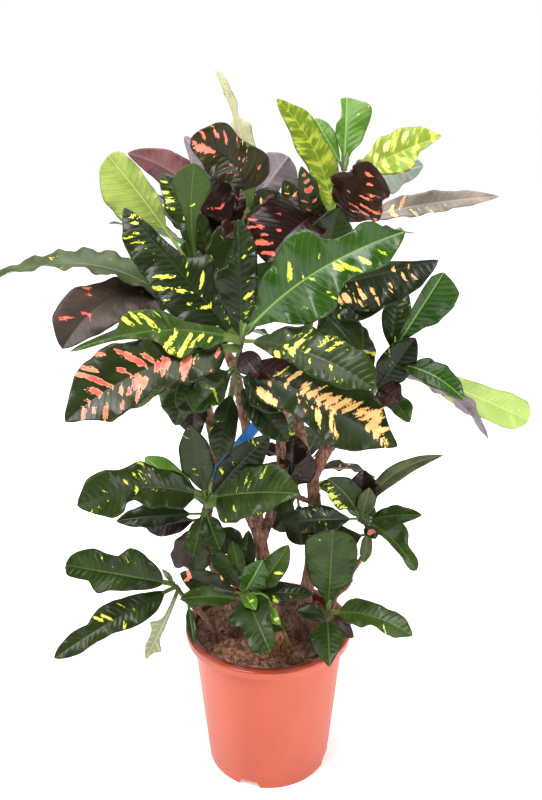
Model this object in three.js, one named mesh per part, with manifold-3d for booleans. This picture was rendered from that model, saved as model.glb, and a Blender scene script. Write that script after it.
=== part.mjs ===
// Potted croton: a many-stemmed shrub with large waved leaves in a terracotta-coloured nursery pot.
// Millimetres, +Z up. The origin is the centre of the pot's flat base.
import * as THREE from "three";
import { mergeVertices } from "three/addons/utils/BufferGeometryUtils.js";
import Module from "manifold-3d";

const wasm = await Module();
wasm.setup();

// Pot
const POT_HEIGHT = 240;
const POT_BASE_RADIUS = 100;
const POT_TOP_RADIUS = 123.5;
const POT_WALL = 2.2;
const FLOOR_THICKNESS = 3;
const LIP_RADIUS = 135;
const LIP_DEPTH = 13;
const LIP_CORNER = 3;
const FOOT_BEVEL = 1.5;
const POT_SIDES = 36;

// Drainage channels under the pot, each ending in a notch at the foot
const CHANNEL_COUNT = 4;
const CHANNEL_FIRST_ANGLE = -108;
const CHANNEL_WIDTH = 37;
const CHANNEL_TOP_WIDTH = 27;
const CHANNEL_HEIGHT = 11;
const CHANNEL_INNER_RADIUS = 58;
const CHANNEL_OVERCUT = 1;
const DRAIN_RADIUS = 5;
const DRAIN_PLACE = 70;
const DRAIN_CUT_LENGTH = 44;
const DRAIN_SIDES = 16;

// Soil
const SOIL_LEVEL = 228;
const SOIL_MOUND = 5;
const SOIL_RIPPLE = 1.6;
const SOIL_RIPPLE_LENGTHS = [13, 31, 17, 41];
const SOIL_RINGS = 3;
const SOIL_FLAT_EDGE = 0.9;
const PLANTING_DEPTH = 120;
const PLANTING_COLLAR = 6;
const PLANTING_HOLE_HEADROOM = 20;

// Gap between pieces that touch, and the distance within which points of one piece are the same
const CLEARANCE = 0.3;
const MERGE_DISTANCE = 1e-4;

// Multiplier and modulus of the seeded random numbers
const RANDOM_MULTIPLIER = 16807;
const RANDOM_MODULUS = 2147483647;

// Wood and leaves
const WOOD_SIDES = 6;
const SHOOT_SIDES = 6;
const SHOOT_FOOT_RADIUS = 4.6;
const SHOOT_TOP_RADIUS = 3.4;
const LONGEST_SPAN = 64;
const BARK_SWELL = 0.07;
const BARK_RING_PITCH = 47;
const BRANCH_FLARE = 1.1;
const BLADE_THICKNESS = 0.9;
const STALK_LENGTH = 22;
const LONGEST_STALK_SHARE = 0.16;
const STALK_HALF_WIDTH = 2.2;
const STALK_HALF_HEIGHT = 1.5;
const STALK_END_HALF_HEIGHT = 1.2;
const BLADE_MIDDLE = 0.5;
const BLADE_TIP_HALF_WIDTH = 1;
const BLADE_FOLD = 0.22;

// Leaves that are placed by a rule
const RULED_LOWEST_PLACE = 0.15;
const RULED_TURN = 0.618;
const RULED_WANDER = 8;
const RULED_WIDTH = [46, 72];
const RULED_ARCH = 16;
const RULED_FORMS = ["oval", "small", "lance", "small"];

// Blank plastic label: a strip that stands up from a band round a stem
const TAG_THICKNESS = 0.8;
const TAG_WIDTH = 18;
const TAG_LENGTH = 112;
const TAG_BAND_HEIGHT = 12;
const TAG_LEAN = 38;
const TAG_PLACE = [-80, 14, 500];
const TAG_BAND_SIDES = 14;
const TAG_STEM_RADIUS = 10.7;

const COLOUR = {
  pot: { color: 0xe2694b, roughness: 0.42, metalness: 0 },
  soil: { color: 0x3a2720, roughness: 0.98, metalness: 0 },
  wood: { color: 0x84604a, roughness: 0.9, metalness: 0 },
  leaf: { color: 0x2f5a24, roughness: 0.38, metalness: 0 },
  tag: { color: 0x2f6fb0, roughness: 0.45, metalness: 0 },
};

// Blade outlines. Each row is the place along the blade, then the half-widths on its left and right,
// as shares of half the leaf's width.
const OUTLINES = {
  oval: [[0, 0.06, 0.06], [0.18, 0.52, 0.52], [0.42, 0.98, 0.98], [0.68, 0.92, 0.92], [0.89, 0.5, 0.5],
    [1, 0, 0]],
  spoon: [[0, 0.06, 0.06], [0.3, 0.28, 0.28], [0.54, 0.74, 0.74], [0.74, 1, 1], [0.92, 0.62, 0.62],
    [1, 0, 0]],
  paddle: [[0, 0.1, 0.1], [0.1, 0.7, 0.75], [0.32, 1, 0.86], [0.55, 0.95, 0.8], [0.8, 0.85, 1],
    [0.92, 0.5, 0.66], [1, 0, 0]],
  pinched: [[0, 0.1, 0.1], [0.22, 0.5, 0.7], [0.4, 0.9, 1], [0.5, 0.25, 0.3], [0.66, 0.6, 0.5],
    [0.85, 0.5, 0.36], [1, 0, 0]],
  lance: [[0, 0.08, 0.08], [0.2, 0.7, 0.7], [0.45, 1, 1], [0.75, 0.7, 0.7], [1, 0, 0]],
  small: [[0, 0.1, 0.1], [0.3, 0.85, 0.85], [0.65, 0.95, 0.95], [0.9, 0.45, 0.45], [1, 0, 0]],
  guitar: [[0, 0.06, 0.06], [0.16, 0.5, 0.45], [0.32, 0.8, 0.72], [0.5, 0.6, 0.62], [0.64, 0.82, 0.7],
    [0.8, 1, 0.96], [0.93, 0.62, 0.6], [1, 0, 0]],
  waved: [[0, 0.08, 0.08], [0.15, 0.5, 0.6], [0.3, 0.95, 0.8], [0.45, 0.78, 0.98], [0.6, 0.96, 0.8],
    [0.76, 0.7, 0.86], [0.9, 0.45, 0.42], [1, 0, 0]],
  flag: [[0, 0.06, 0.06], [0.14, 0.35, 0.3], [0.3, 0.75, 0.74], [0.44, 0.95, 0.8], [0.55, 1, 0.62],
    [0.64, 0.58, 0.44], [0.74, 0.44, 0.48], [0.86, 0.56, 0.46], [0.95, 0.32, 0.22], [1, 0, 0]],
  sail: [[0, 0.08, 0.08], [0.15, 0.5, 0.4], [0.35, 0.8, 0.62], [0.53, 1, 0.74], [0.66, 0.62, 0.76],
    [0.8, 0.38, 0.56], [0.92, 0.25, 0.3], [1, 0, 0]],
  skew: [[0, 0.08, 0.08], [0.14, 0.45, 0.25], [0.33, 1, 0.55], [0.5, 0.7, 0.72], [0.64, 0.62, 1],
    [0.8, 0.42, 0.6], [0.92, 0.2, 0.26], [1, 0, 0]],
  broad: [[0, 0.2, 0.1], [0.1, 0.6, 0.3], [0.28, 0.76, 0.6], [0.46, 0.62, 0.85], [0.64, 0.82, 1],
    [0.78, 0.86, 0.94], [0.9, 0.5, 0.68], [1, 0, 0]],
  blunt: [[0, 0.1, 0.1], [0.14, 0.5, 0.4], [0.35, 1, 0.74], [0.58, 0.96, 0.84], [0.78, 0.92, 1],
    [0.92, 0.62, 0.6], [1, 0, 0]],
  fiddle: [[0, 0.1, 0.14], [0.14, 0.3, 0.8], [0.3, 0.4, 1], [0.46, 0.45, 0.8], [0.6, 0.54, 0.64],
    [0.78, 0.72, 0.6], [0.93, 0.52, 0.42], [1, 0, 0]],
  shoulder: [[0, 0.1, 0.1], [0.2, 0.95, 0.82], [0.38, 0.98, 0.96], [0.46, 1, 1], [0.56, 0.9, 0.55],
    [0.72, 0.78, 0.52], [0.87, 0.6, 0.45], [1, 0, 0]],
  trefoil: [[0, 0.1, 0.12], [0.18, 0.34, 0.55], [0.36, 0.52, 0.96], [0.52, 0.74, 1], [0.64, 0.86, 0.76],
    [0.75, 0.56, 0.82], [0.87, 0.62, 0.8], [0.96, 0.4, 0.42], [1, 0.1, 0.1]],
  oak: [[0, 0.1, 0.1], [0.22, 0.3, 0.4], [0.42, 0.4, 0.66], [0.54, 0.5, 0.6], [0.63, 1, 0.42],
    [0.7, 0.9, 0.42], [0.76, 0.36, 0.5], [0.87, 0.38, 0.54], [0.96, 0.34, 0.34], [1, 0.1, 0.1]],
  mitten: [[0, 0.1, 0.1], [0.18, 0.4, 0.62], [0.32, 0.5, 0.88], [0.42, 0.58, 1], [0.55, 0.66, 0.66],
    [0.68, 0.86, 0.74], [0.76, 0.5, 0.84], [0.88, 0.34, 0.7], [1, 0, 0.1]],
  ladle: [[0, 0.1, 0.1], [0.14, 0.66, 0.6], [0.35, 0.8, 1], [0.48, 0.54, 0.86], [0.58, 0.48, 0.62],
    [0.78, 0.52, 0.58], [0.9, 0.36, 0.34], [1, 0, 0]],
  pennant: [[0, 0.1, 0.1], [0.2, 0.36, 0.46], [0.4, 0.6, 0.8], [0.6, 0.8, 0.82], [0.8, 0.94, 0.56],
    [0.9, 1, 0.38], [1, 0, 0]],
  fan: [[0, 0.1, 0.1], [0.24, 0.24, 0.4], [0.5, 0.44, 0.9], [0.72, 0.5, 1], [0.88, 0.44, 0.94],
    [1, 0, 0]],
  cup: [[0, 0.2, 0.4], [0.14, 0.62, 0.7], [0.34, 0.88, 0.66], [0.58, 1, 0.6], [0.78, 0.94, 0.42],
    [0.92, 0.6, 0.2], [1, 0, 0]],
  scallop: [[0, 0.2, 0.2], [0.15, 0.8, 0.66], [0.29, 0.96, 0.9], [0.42, 0.82, 0.9], [0.54, 0.84, 0.55],
    [0.7, 0.94, 0.7], [0.84, 0.74, 0.72], [0.93, 0.4, 0.4], [1, 0, 0]],
  mirrorScallop: [[0, 0.2, 0.2], [0.15, 0.8, 0.9], [0.3, 0.6, 0.96], [0.42, 0.84, 0.8], [0.55, 1, 0.95],
    [0.7, 0.92, 0.96], [0.86, 0.7, 0.86], [0.94, 0.4, 0.5], [1, 0, 0]],
  tongue: [[0, 0.2, 0.2], [0.4, 0.28, 0.28], [0.62, 0.36, 0.36], [0.76, 0.85, 0.9], [0.9, 1, 0.7],
    [1, 0, 0.1]],
};

// Woody stems. Each has the radius at its foot and at its ends, its planted foot, the points of its
// main run, and side branches that start on it. Every run ends where a leafy shoot begins.
const STEMS = {
  stem_front: {
    foot: [24, -66],
    radius: 12,
    runs: [
      { to: "crown_front", radius: 7.5, through: [[14, -62, 268], [-2, -52, 330], [-12, -42, 410],
        [-32, -36, 455], [-52, -28, 525], [-60, -30, 585]] },
      { to: "crown_right", from: [-12, -42, 404], radius: 7.5, through: [[4, -30, 445], [20, -12, 505],
        [20, 2, 565], [40, 18, 655], [58, 24, 720]] },
    ],
  },
  stem_right: {
    foot: [52, -30],
    radius: 13,
    runs: [
      { to: "crown_edge", radius: 8, through: [[56, -28, 280], [66, -22, 350], [74, -12, 425],
        [70, -4, 495], [84, 0, 530], [106, 2, 560], [132, 3, 592]] },
      { to: "back_right", from: [70, -4, 492], radius: 7.5, through: [[52, 12, 545], [46, 50, 620],
        [58, 88, 690]] },
      { to: "right_inner", from: [72, -8, 455], radius: 4, through: [[58, -14, 462]] },
    ],
  },
  stem_left: {
    foot: [-52, -26],
    radius: 10.5,
    runs: [
      { to: "crown_left", radius: 8, through: [[-62, -22, 290], [-84, -12, 345], [-100, 0, 390],
        [-95, 12, 445], [-80, 14, 500], [-84, 10, 560], [-98, 6, 630]] },
      { to: "left_middle", from: [-99, -1, 386], radius: 5.5, through: [[-103, -14, 402]] },
    ],
  },
  stem_back: {
    foot: [-8, 62],
    radius: 12,
    runs: [
      { to: "back_left", radius: 8, through: [[-10, 66, 300], [-22, 78, 420], [-36, 92, 540],
        [-56, 108, 640]] },
      { to: "back_low", from: [-16, 72, 360], radius: 6, through: [[6, 96, 390], [30, 118, 410]] },
    ],
  },
  stem_thin: {
    foot: [99, -14],
    radius: 4.2,
    runs: [
      { to: "right_middle", radius: 3.6, through: [[102, -16, 270], [108, -19, 300], [126, -19, 318],
        [132, -14, 336], [150, -10, 366], [159, -9, 386]] },
    ],
  },
  stem_low_left: {
    foot: [-84, -40],
    radius: 5,
    runs: [
      { to: "left_low", radius: 4.4, through: [[-88, -40, 256], [-104, -38, 278]] },
    ],
  },
  stem_low_front: {
    foot: [-30, -66],
    radius: 5,
    runs: [
      { to: "front_low", radius: 4.4, through: [[-32, -66, 262], [-34, -68, 285]] },
    ],
  },
  stem_low_right: {
    foot: [84, -48],
    radius: 4.6,
    runs: [
      { to: "right_low", radius: 4.2, through: [[88, -49, 250]] },
    ],
  },
};

// Leafy shoots. A shoot is a green twig through three points with the leaves that grow from it.
// Each leaf row gives where it leaves the twig (0 foot, 1 top), its tip, its width, its outline, the
// way its upper face looks, how far it arches towards that face, how far it bows to its left, and
// its twist in degrees from foot to tip.
const SHOOTS = {
  crown_front: {
    twig: [[-56, -45, 622], [-46, -72, 680], [-34, -96, 736]],
    leaves: [
      [1, [168, -150, 877], 134, "flag", [0, -3, 1], 14, 16, 0],
      [0.97, [-38, -92, 888], 70, "sail", [0, -3, 1], 6, 0, 0],
      [0.95, [-252, -150, 716], 78, "skew", [0, -3, 1], 10, -14, 0],
      [0.9, [-194, -38, 900], 96, "shoulder", [0, -3, 1], 10, 0, 0],
      [0.86, [-254, -190, 646], 96, "broad", [-1, -4, 2], 14, -18, 0],
      [0.93, [129, -205, 694], 66, "blunt", [0, -3, 2], 14, 9, 0],
      [0.62, [163, -198, 616], 92, "paddle", [0, -3, 2], 10, 16, 0],
      [0.5, [-96, -125, 612], 46, "trefoil", [0, -3, 1], 6, 0, 0],
      [0.8, [-12, -130, 690], 36, "small", [0, -3, 1], 6, 0, 0],
      [0.4, [28, -100, 588], 44, "small", [0, -3, 1], 8, 0, 0],
      [0.35, [-70, -96, 560], 40, "small", [0, -3, 1], 8, 0, 0],
    ],
  },
  crown_left: {
    twig: [[-103, 4, 668], [-82, 12, 775], [-26, 30, 900]],
    leaves: [
      [0.96, [-80, 55, 1082], 40, "pinched", [0, -3, 1], 6, -14, 50],
      [1, [-84, -60, 990], 112, "fiddle", [0, -3, 2], 10, -6, 0],
      [0.7, [-212, 110, 973], 52, "oval", [0, 3, 1], 14, 22, 0],
      [0.42, [-216, -16, 970], 80, "spoon", [-1, -3, 1], 12, -8, 0],
      [0.6, [-160, 52, 955], 48, "waved", [0, -3, 1], 8, 0, 0],
      [0.38, [-100, -52, 958], 50, "spoon", [0, -3, 0], 4, 16, 0],
      [0.8, [-100, 48, 950], 52, "oval", [0, -2, 1], 8, 0, 0],
      [0.5, [-70, -6, 905], 56, "oval", [0, -3, 1], 4, 0, 0],
      [0.9, [-108, 64, 985], 40, "small", [0, 3, 1], 6, 0, 0],
      [0.98, [26, 62, 968], 60, "guitar", [0, 3, 0], 6, 0, 0],
      [0.22, [-396, -62, 808], 60, "lance", [0, -2, 3], 56, -34, 30],
      [0.3, [-272, -112, 722], 98, "waved", [-1, -3, 2], 30, -52, 0],
      [0.15, [-160, 20, 596], 58, "oval", [-2, -2, 1], 14, 0, 0],
      [0.12, [-190, -66, 625], 60, "oval", [-1, -2, 2], 16, 0, 0],
    ],
  },
  crown_right: {
    twig: [[64, 24, 752], [92, 18, 850], [108, 38, 948]],
    leaves: [
      [0.62, [137, -90, 950], 104, "trefoil", [0, -3, 1], 4, 0, 0],
      [0.5, [12, 50, 1045], 48, "waved", [0, -3, 0], 4, -24, 0],
      [1, [123, 70, 1048], 112, "oak", [0, -3, 1], 6, 0, 0],
      [0.94, [223, -40, 990], 62, "oval", [0, -2, 1], 8, -2, 0],
      [0.86, [230, 84, 955], 68, "waved", [0, 3, 1], 6, 0, 0],
      [0.62, [318, -12, 914], 36, "lance", [0, -2, 2], 10, 0, 20],
      [0.36, [45, -20, 954], 34, "waved", [0, -3, 0], 2, 0, 0],
      [0.3, [22, 22, 936], 38, "oval", [0, -3, 1], 2, 0, 0],
      [0.42, [-33, -108, 885], 66, "oval", [0, -2, 2], 24, 0, 0],
      [0.14, [250, -110, 803], 76, "pennant", [0, -3, 1], 6, 0, 0],
    ],
  },
  crown_edge: {
    twig: [[150, 3, 618], [166, 0, 650], [180, -4, 690]],
    leaves: [
      [1, [242, -42, 816], 72, "fan", [0, -3, 1], 6, 0, 0],
      [0.3, [184, -45, 622], 38, "small", [0, -2, -2], 4, 0, 0],
      [0.75, [275, -72, 640], 54, "oval", [0, -2, 3], 26, 0, 0],
      [0.6, [309, -86, 586], 46, "oval", [0, 2, 2], 24, 0, 0],
      [0.85, [412, 56, 568], 58, "blunt", [0, -3, 1], 20, 0, 0],
      [0.35, [206, -40, 596], 38, "small", [1, -2, 1], 6, 0, 0],
      [0.9, [196, 30, 790], 44, "lance", [0, -2, 1], 6, 0, 0],
    ],
  },
  left_middle: {
    twig: [[-106, -26, 416], [-100, -30, 442], [-92, -30, 472]],
    leaves: [
      [0.9, [-112, -62, 600], 44, "oval", [0, -3, 0], 4, 0, 0],
      [1, [-266, -120, 500], 78, "mirrorScallop", [0, -3, 2], 10, -18, 0],
      [0.8, [-186, 12, 548], 44, "small", [0, -3, 1], 6, 0, 0],
      [0.85, [2, -56, 582], 52, "oval", [1, -3, 1], 8, 6, 0],
      [0.97, [45, -112, 515], 80, "cup", [0, -3, 2], 8, 4, 0],
      [0.55, [-230, -42, 440], 36, "lance", [0, -2, 2], 8, 0, 0],
      [0.4, [-185, -4, 414], 34, "small", [0, -3, 1], 6, 0, 0],
      [0.65, [-112, -70, 396], 34, "small", [0, -3, 1], 6, 0, 0],
      [0.7, [-72, -66, 404], 36, "small", [0, -3, 1], 4, 0, 0],
      [0.3, [-146, -24, 352], 40, "waved", [-1, -3, 1], 4, 0, 0],
    ],
  },
  left_low: {
    twig: [[-116, -36, 288], [-132, -32, 304], [-148, -26, 324]],
    leaves: [
      [1, [-297, -90, 396], 82, "mitten", [0, -3, 2], 8, 0, 0],
      [0.9, [-317, -122, 256], 68, "ladle", [0, -3, 2], 10, -4, 0],
      [0.8, [-176, -130, 260], 36, "tongue", [1, -2, 2], 16, 0, 0],
      [0.3, [-112, -92, 258], 22, "small", [0, -2, 2], 6, 0, 0],
    ],
  },
  front_low: {
    twig: [[-34, -69, 297], [-35, -71, 316], [-36, -74, 338]],
    leaves: [
      [0.9, [-130, -92, 380], 36, "oval", [0, -3, 1], 8, 0, 0],
      [0.6, [-128, -118, 352], 36, "oval", [0, -2, 3], 10, 0, 0],
      [0.95, [-84, -62, 404], 30, "small", [0, -3, 1], 4, 0, 0],
      [1, [-54, -56, 414], 28, "small", [0, -3, 0], 4, 0, 0],
      [0.9, [-30, -44, 426], 28, "small", [0, -3, 0], 4, 0, 0],
      [1, [-8, -100, 406], 44, "waved", [0, -3, 1], 6, 0, 0],
      [0.95, [3, -172, 302], 74, "scallop", [0, -3, 2], 12, 0, 0],
      [0.7, [30, -84, 422], 38, "oval", [0, -3, 1], 4, -4, 0],
      [0.5, [24, -112, 298], 34, "small", [0, -3, 1], 8, 0, 0],
      [0.8, [68, -88, 342], 34, "lance", [0, -2, 3], 8, 0, 0],
      [0.9, [6, -112, 330], 28, "small", [0, -2, 2], 8, 0, 0],
      [0.85, [-18, -124, 338], 24, "small", [0, -2, 2], 6, 0, 0],
    ],
  },
  right_low: {
    twig: [[90, -50, 262], [91, -51, 275], [92, -53, 290]],
    leaves: [
      [1, [96, -66, 438], 78, "oval", [0, -3, 0], 4, 0, 0],
      [0.9, [208, -140, 306], 52, "scallop", [0, -2, 3], 14, 7, 0],
      [0.8, [90, -140, 250], 54, "oval", [0, -2, 2], 8, 0, 0],
      [0.5, [140, -84, 262], 24, "small", [0, -2, 2], 6, 0, 0],
      [0.7, [42, -84, 312], 28, "small", [0, -2, 2], 6, 0, 0],
    ],
  },
  right_inner: {
    twig: [[48, -18, 468], [40, -20, 476], [32, -22, 486]],
    leaves: [
      [1, [62, -44, 548], 40, "small", [1, -3, 0], 8, 0, 0],
      [0.8, [8, -44, 458], 34, "small", [0, -3, 1], 6, 0, 0],
      [0.9, [34, -42, 532], 32, "small", [0, -3, 0], 4, 0, 0],
    ],
  },
  right_middle: {
    twig: [[159, -9, 400], [153, -9, 418], [140, -11, 432]],
    leaves: [
      [1, [88, -42, 510], 48, "oval", [0, -3, 1], 4, -6, 0],
      [0.9, [170, -4, 522], 44, "small", [0, -3, 0], 6, 0, 0],
      [0.95, [258, -42, 546], 38, "lance", [0, -2, 2], 8, 24, 30],
      [0.85, [153, -26, 488], 30, "small", [0, -3, 1], 4, 0, 0],
      [0.7, [232, -42, 450], 32, "lance", [0, -2, 2], 10, 0, 0],
      [0.75, [216, -92, 380], 54, "oval", [0, -2, 2], 30, 0, 0],
      [0.4, [188, -40, 408], 30, "small", [0, -2, 2], 6, 0, 0],
      [0.3, [146, -46, 372], 20, "small", [0, -3, 1], 4, 0, 0],
      [0.9, [20, -62, 446], 46, "oval", [0, -3, 2], 8, 0, 0],
    ],
  },
};

// Shoots at the back of the plant, whose leaves are placed by a rule: evenly turned round the twig,
// each with a small seeded change of direction, length and width.
const FULL_SHOOTS = {
  back_left: {
    twig: [[-68, 118, 668], [-92, 140, 760], [-96, 150, 860]],
    leaves: 13,
    heading: 128,
    spread: 100,
    reach: [140, 195],
    rise: [-25, 40],
    seed: 11,
  },
  back_right: {
    twig: [[66, 104, 716], [84, 134, 790], [92, 146, 870]],
    leaves: 13,
    heading: 48,
    spread: 95,
    reach: [140, 195],
    rise: [-25, 40],
    seed: 23,
  },
  back_low: {
    twig: [[46, 128, 426], [60, 138, 446], [66, 144, 470]],
    leaves: 7,
    heading: 80,
    spread: 100,
    reach: [110, 160],
    rise: [-30, 35],
    seed: 37,
  },
};

const UP = new THREE.Vector3(0, 0, 1);

const vector = (xyz) => new THREE.Vector3(...xyz);

const mix = (from, to, share) => from + (to - from) * share;

// Seeded random numbers between 0 and 1, from a small whole-number recurrence.
function randomNumbers(seed) {
  let state = seed;
  return () => {
    state = (state * RANDOM_MULTIPLIER) % RANDOM_MODULUS;
    return state / RANDOM_MODULUS;
  };
}

// Turns a closed geometry into a solid.
function solidOf(geometry) {
  const bare = geometry.clone();
  bare.deleteAttribute("normal");
  bare.deleteAttribute("uv");
  const merged = mergeVertices(bare, MERGE_DISTANCE);
  return new wasm.Manifold(
    new wasm.Mesh({
      numProp: 3,
      vertProperties: new Float32Array(merged.attributes.position.array),
      triVerts: new Uint32Array(merged.index.array),
    }),
  );
}

// Joins solids into one body. A hollow that joining has sealed is filled, and a loose scrap is dropped.
function fuse(solids) {
  const pieces = wasm.Manifold.union(solids).decompose();
  return pieces.reduce((largest, piece) => (piece.volume() > largest.volume() ? piece : largest));
}

// Turns a solid into a named mesh with its own material.
function meshOf(name, solid, look) {
  const { vertProperties, triVerts } = solid.getMesh();
  const geometry = new THREE.BufferGeometry();
  geometry.setAttribute("position", new THREE.BufferAttribute(new Float32Array(vertProperties), 3));
  geometry.setIndex(new THREE.BufferAttribute(new Uint32Array(triVerts), 1));
  const mesh = new THREE.Mesh(geometry, new THREE.MeshStandardMaterial(look));
  mesh.name = name;
  return mesh;
}

// Joins rings of points, all with the same count, into one closed solid with flat ends.
function loft(rings) {
  const count = rings[0].length;
  const positions = rings.flat().flatMap((point) => point.toArray());
  const faces = [];
  for (let ring = 0; ring + 1 < rings.length; ring += 1) {
    for (let side = 0; side < count; side += 1) {
      const next = (side + 1) % count;
      const a = ring * count + side;
      const b = ring * count + next;
      faces.push(a, b, b + count, a, b + count, a + count);
    }
  }
  const last = (rings.length - 1) * count;
  for (let side = 1; side + 1 < count; side += 1) {
    faces.push(0, side + 1, side);
    faces.push(last, last + side, last + side + 1);
  }
  const geometry = new THREE.BufferGeometry();
  geometry.setAttribute("position", new THREE.Float32BufferAttribute(positions, 3));
  geometry.setIndex(faces);
  return solidOf(geometry);
}

// The points of a round section about a centre, square to a direction.
function ringAbout(centre, direction, radius, sides) {
  const flat = new THREE.Vector3(0, -1, 0).projectOnPlane(direction).normalize();
  const across = new THREE.Vector3().crossVectors(direction, flat);
  return Array.from({ length: sides }, (_, side) => {
    const turn = (side / sides) * Math.PI * 2;
    return centre
      .clone()
      .addScaledVector(flat, Math.cos(turn) * radius)
      .addScaledVector(across, Math.sin(turn) * radius);
  });
}

// The rings of a round limb through some points. It narrows evenly, with slight swellings where
// leaves once grew, and its end rings are square to the given directions.
function limbRings(points, radii, sides, swell, startDirection, endDirection) {
  const curve = new THREE.CatmullRomCurve3(points);
  const length = curve.getLength();
  const spans = points.length - 1;
  const rings = [ringAbout(points[0], startDirection, radii[0], sides)];
  for (let span = 0; span < spans; span += 1) {
    const steps = Math.ceil(points[span].distanceTo(points[span + 1]) / LONGEST_SPAN);
    for (let step = 1; step <= steps; step += 1) {
      const share = (span + step / steps) / spans;
      const last = share === 1;
      const bulge = last ? 1 : 1 + swell * Math.sin((share * length * Math.PI * 2) / BARK_RING_PITCH);
      const along = last ? endDirection : curve.getTangent(share);
      rings.push(ringAbout(curve.getPoint(share), along, mix(...radii, share) * bulge, sides));
    }
  }
  return rings;
}

// The outside radius of the pot's wall at a height.
const potRadius = (height) => mix(POT_BASE_RADIUS, POT_TOP_RADIUS, height / POT_HEIGHT);

// A flat-topped bar with slanted sides along one drainage channel, widened all round by a margin.
function channelBar(margin) {
  const low = CHANNEL_WIDTH / 2 + margin;
  const high = CHANNEL_TOP_WIDTH / 2 + margin;
  const top = CHANNEL_HEIGHT + margin;
  const section = new THREE.Shape([
    new THREE.Vector2(-low, -CHANNEL_OVERCUT),
    new THREE.Vector2(low, -CHANNEL_OVERCUT),
    new THREE.Vector2(high, top),
    new THREE.Vector2(-high, top),
  ]);
  const length = POT_TOP_RADIUS - CHANNEL_INNER_RADIUS + margin;
  const bar = new THREE.ExtrudeGeometry(section, { depth: length, bevelEnabled: false });
  bar.rotateX(Math.PI / 2);
  bar.rotateZ(Math.PI / 2);
  bar.translate(CHANNEL_INNER_RADIUS - margin, 0, 0);
  return bar;
}

// A peg that cuts one drain hole.
function drainPeg() {
  const peg = new THREE.CylinderGeometry(DRAIN_RADIUS, DRAIN_RADIUS, DRAIN_CUT_LENGTH, DRAIN_SIDES);
  peg.rotateX(Math.PI / 2);
  peg.translate(DRAIN_PLACE, 0, 0);
  return peg;
}

// One solid of a form repeated at every drainage channel.
function aroundChannels(makeForm) {
  return wasm.Manifold.union(
    Array.from({ length: CHANNEL_COUNT }, (_, index) => {
      const turn = THREE.MathUtils.degToRad(CHANNEL_FIRST_ANGLE + (index * 360) / CHANNEL_COUNT);
      return solidOf(makeForm().rotateZ(turn));
    }),
  );
}

// All the drainage channels as one solid, widened by a margin.
const channels = (margin) => aroundChannels(() => channelBar(margin));

// The space inside the pot's wall and floor, shrunk by a margin, up to a height.
function potInside(margin, top) {
  const bottomRadius = potRadius(FLOOR_THICKNESS) - POT_WALL - margin;
  const topRadius = potRadius(top) - POT_WALL - margin;
  const profile = [
    new THREE.Vector2(0, FLOOR_THICKNESS + margin),
    new THREE.Vector2(bottomRadius, FLOOR_THICKNESS + margin),
    new THREE.Vector2(topRadius, top),
    new THREE.Vector2(0, top),
  ];
  return solidOf(new THREE.LatheGeometry(profile, POT_SIDES).rotateX(Math.PI / 2));
}

// The pot: a tapered wall with a turned-down lip, a flat floor, and raised drainage channels.
function pot() {
  const lipFoot = POT_HEIGHT - LIP_DEPTH;
  const lipInside = LIP_RADIUS - POT_WALL;
  const underLip = POT_HEIGHT - POT_WALL;
  const mouth = potRadius(POT_HEIGHT) - POT_WALL;
  const profile = [
    [0, 0],
    [POT_BASE_RADIUS - FOOT_BEVEL, 0],
    [POT_BASE_RADIUS, FOOT_BEVEL],
    [potRadius(underLip), underLip],
    [lipInside, underLip],
    [lipInside, lipFoot],
    [LIP_RADIUS, lipFoot],
    [LIP_RADIUS, POT_HEIGHT - LIP_CORNER],
    [LIP_RADIUS - LIP_CORNER, POT_HEIGHT],
    [mouth + LIP_CORNER, POT_HEIGHT],
    [mouth, POT_HEIGHT - LIP_CORNER],
    [potRadius(FLOOR_THICKNESS) - POT_WALL, FLOOR_THICKNESS],
    [0, FLOOR_THICKNESS],
  ].map(([radius, height]) => new THREE.Vector2(radius, height));
  const shell = solidOf(new THREE.LatheGeometry(profile, POT_SIDES).rotateX(Math.PI / 2));
  const roofs = channels(POT_WALL).intersect(potInside(-POT_WALL / 2, POT_HEIGHT / 2));
  const body = shell.add(roofs).subtract(channels(0)).subtract(aroundChannels(drainPeg));
  return meshOf("pot", body, COLOUR.pot);
}

// The height of the soil's surface above a point.
function soilHeight(x, y) {
  const share = Math.hypot(x, y) / POT_TOP_RADIUS;
  const [first, second, third, fourth] = SOIL_RIPPLE_LENGTHS;
  const ripple = Math.sin(x / first + y / second) * Math.cos(y / third - x / fourth);
  return SOIL_LEVEL + SOIL_MOUND * (1 - share * share) + SOIL_RIPPLE * ripple;
}

// The soil as it fills the pot, with an uneven crumbly top, before its holes are made.
function soilFill() {
  const bottomRadius = potRadius(FLOOR_THICKNESS) - POT_WALL - CLEARANCE;
  const topRadius = potRadius(SOIL_LEVEL - SOIL_RIPPLE) - POT_WALL - CLEARANCE;
  const profile = [
    new THREE.Vector2(0, FLOOR_THICKNESS + CLEARANCE),
    new THREE.Vector2(bottomRadius, FLOOR_THICKNESS + CLEARANCE),
  ];
  for (let ring = SOIL_RINGS; ring > 0; ring -= 1) {
    profile.push(new THREE.Vector2((topRadius * ring) / SOIL_RINGS, SOIL_LEVEL));
  }
  profile.push(new THREE.Vector2(0, SOIL_LEVEL));
  const fill = new THREE.LatheGeometry(profile, POT_SIDES).rotateX(Math.PI / 2);
  const places = fill.attributes.position;
  for (let i = 0; i < places.count; i += 1) {
    const onTop = places.getZ(i) > SOIL_LEVEL / 2;
    const inside = Math.hypot(places.getX(i), places.getY(i)) < topRadius * SOIL_FLAT_EDGE;
    if (onTop && inside) {
      places.setZ(i, soilHeight(places.getX(i), places.getY(i)));
    }
  }
  return solidOf(fill);
}

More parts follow.
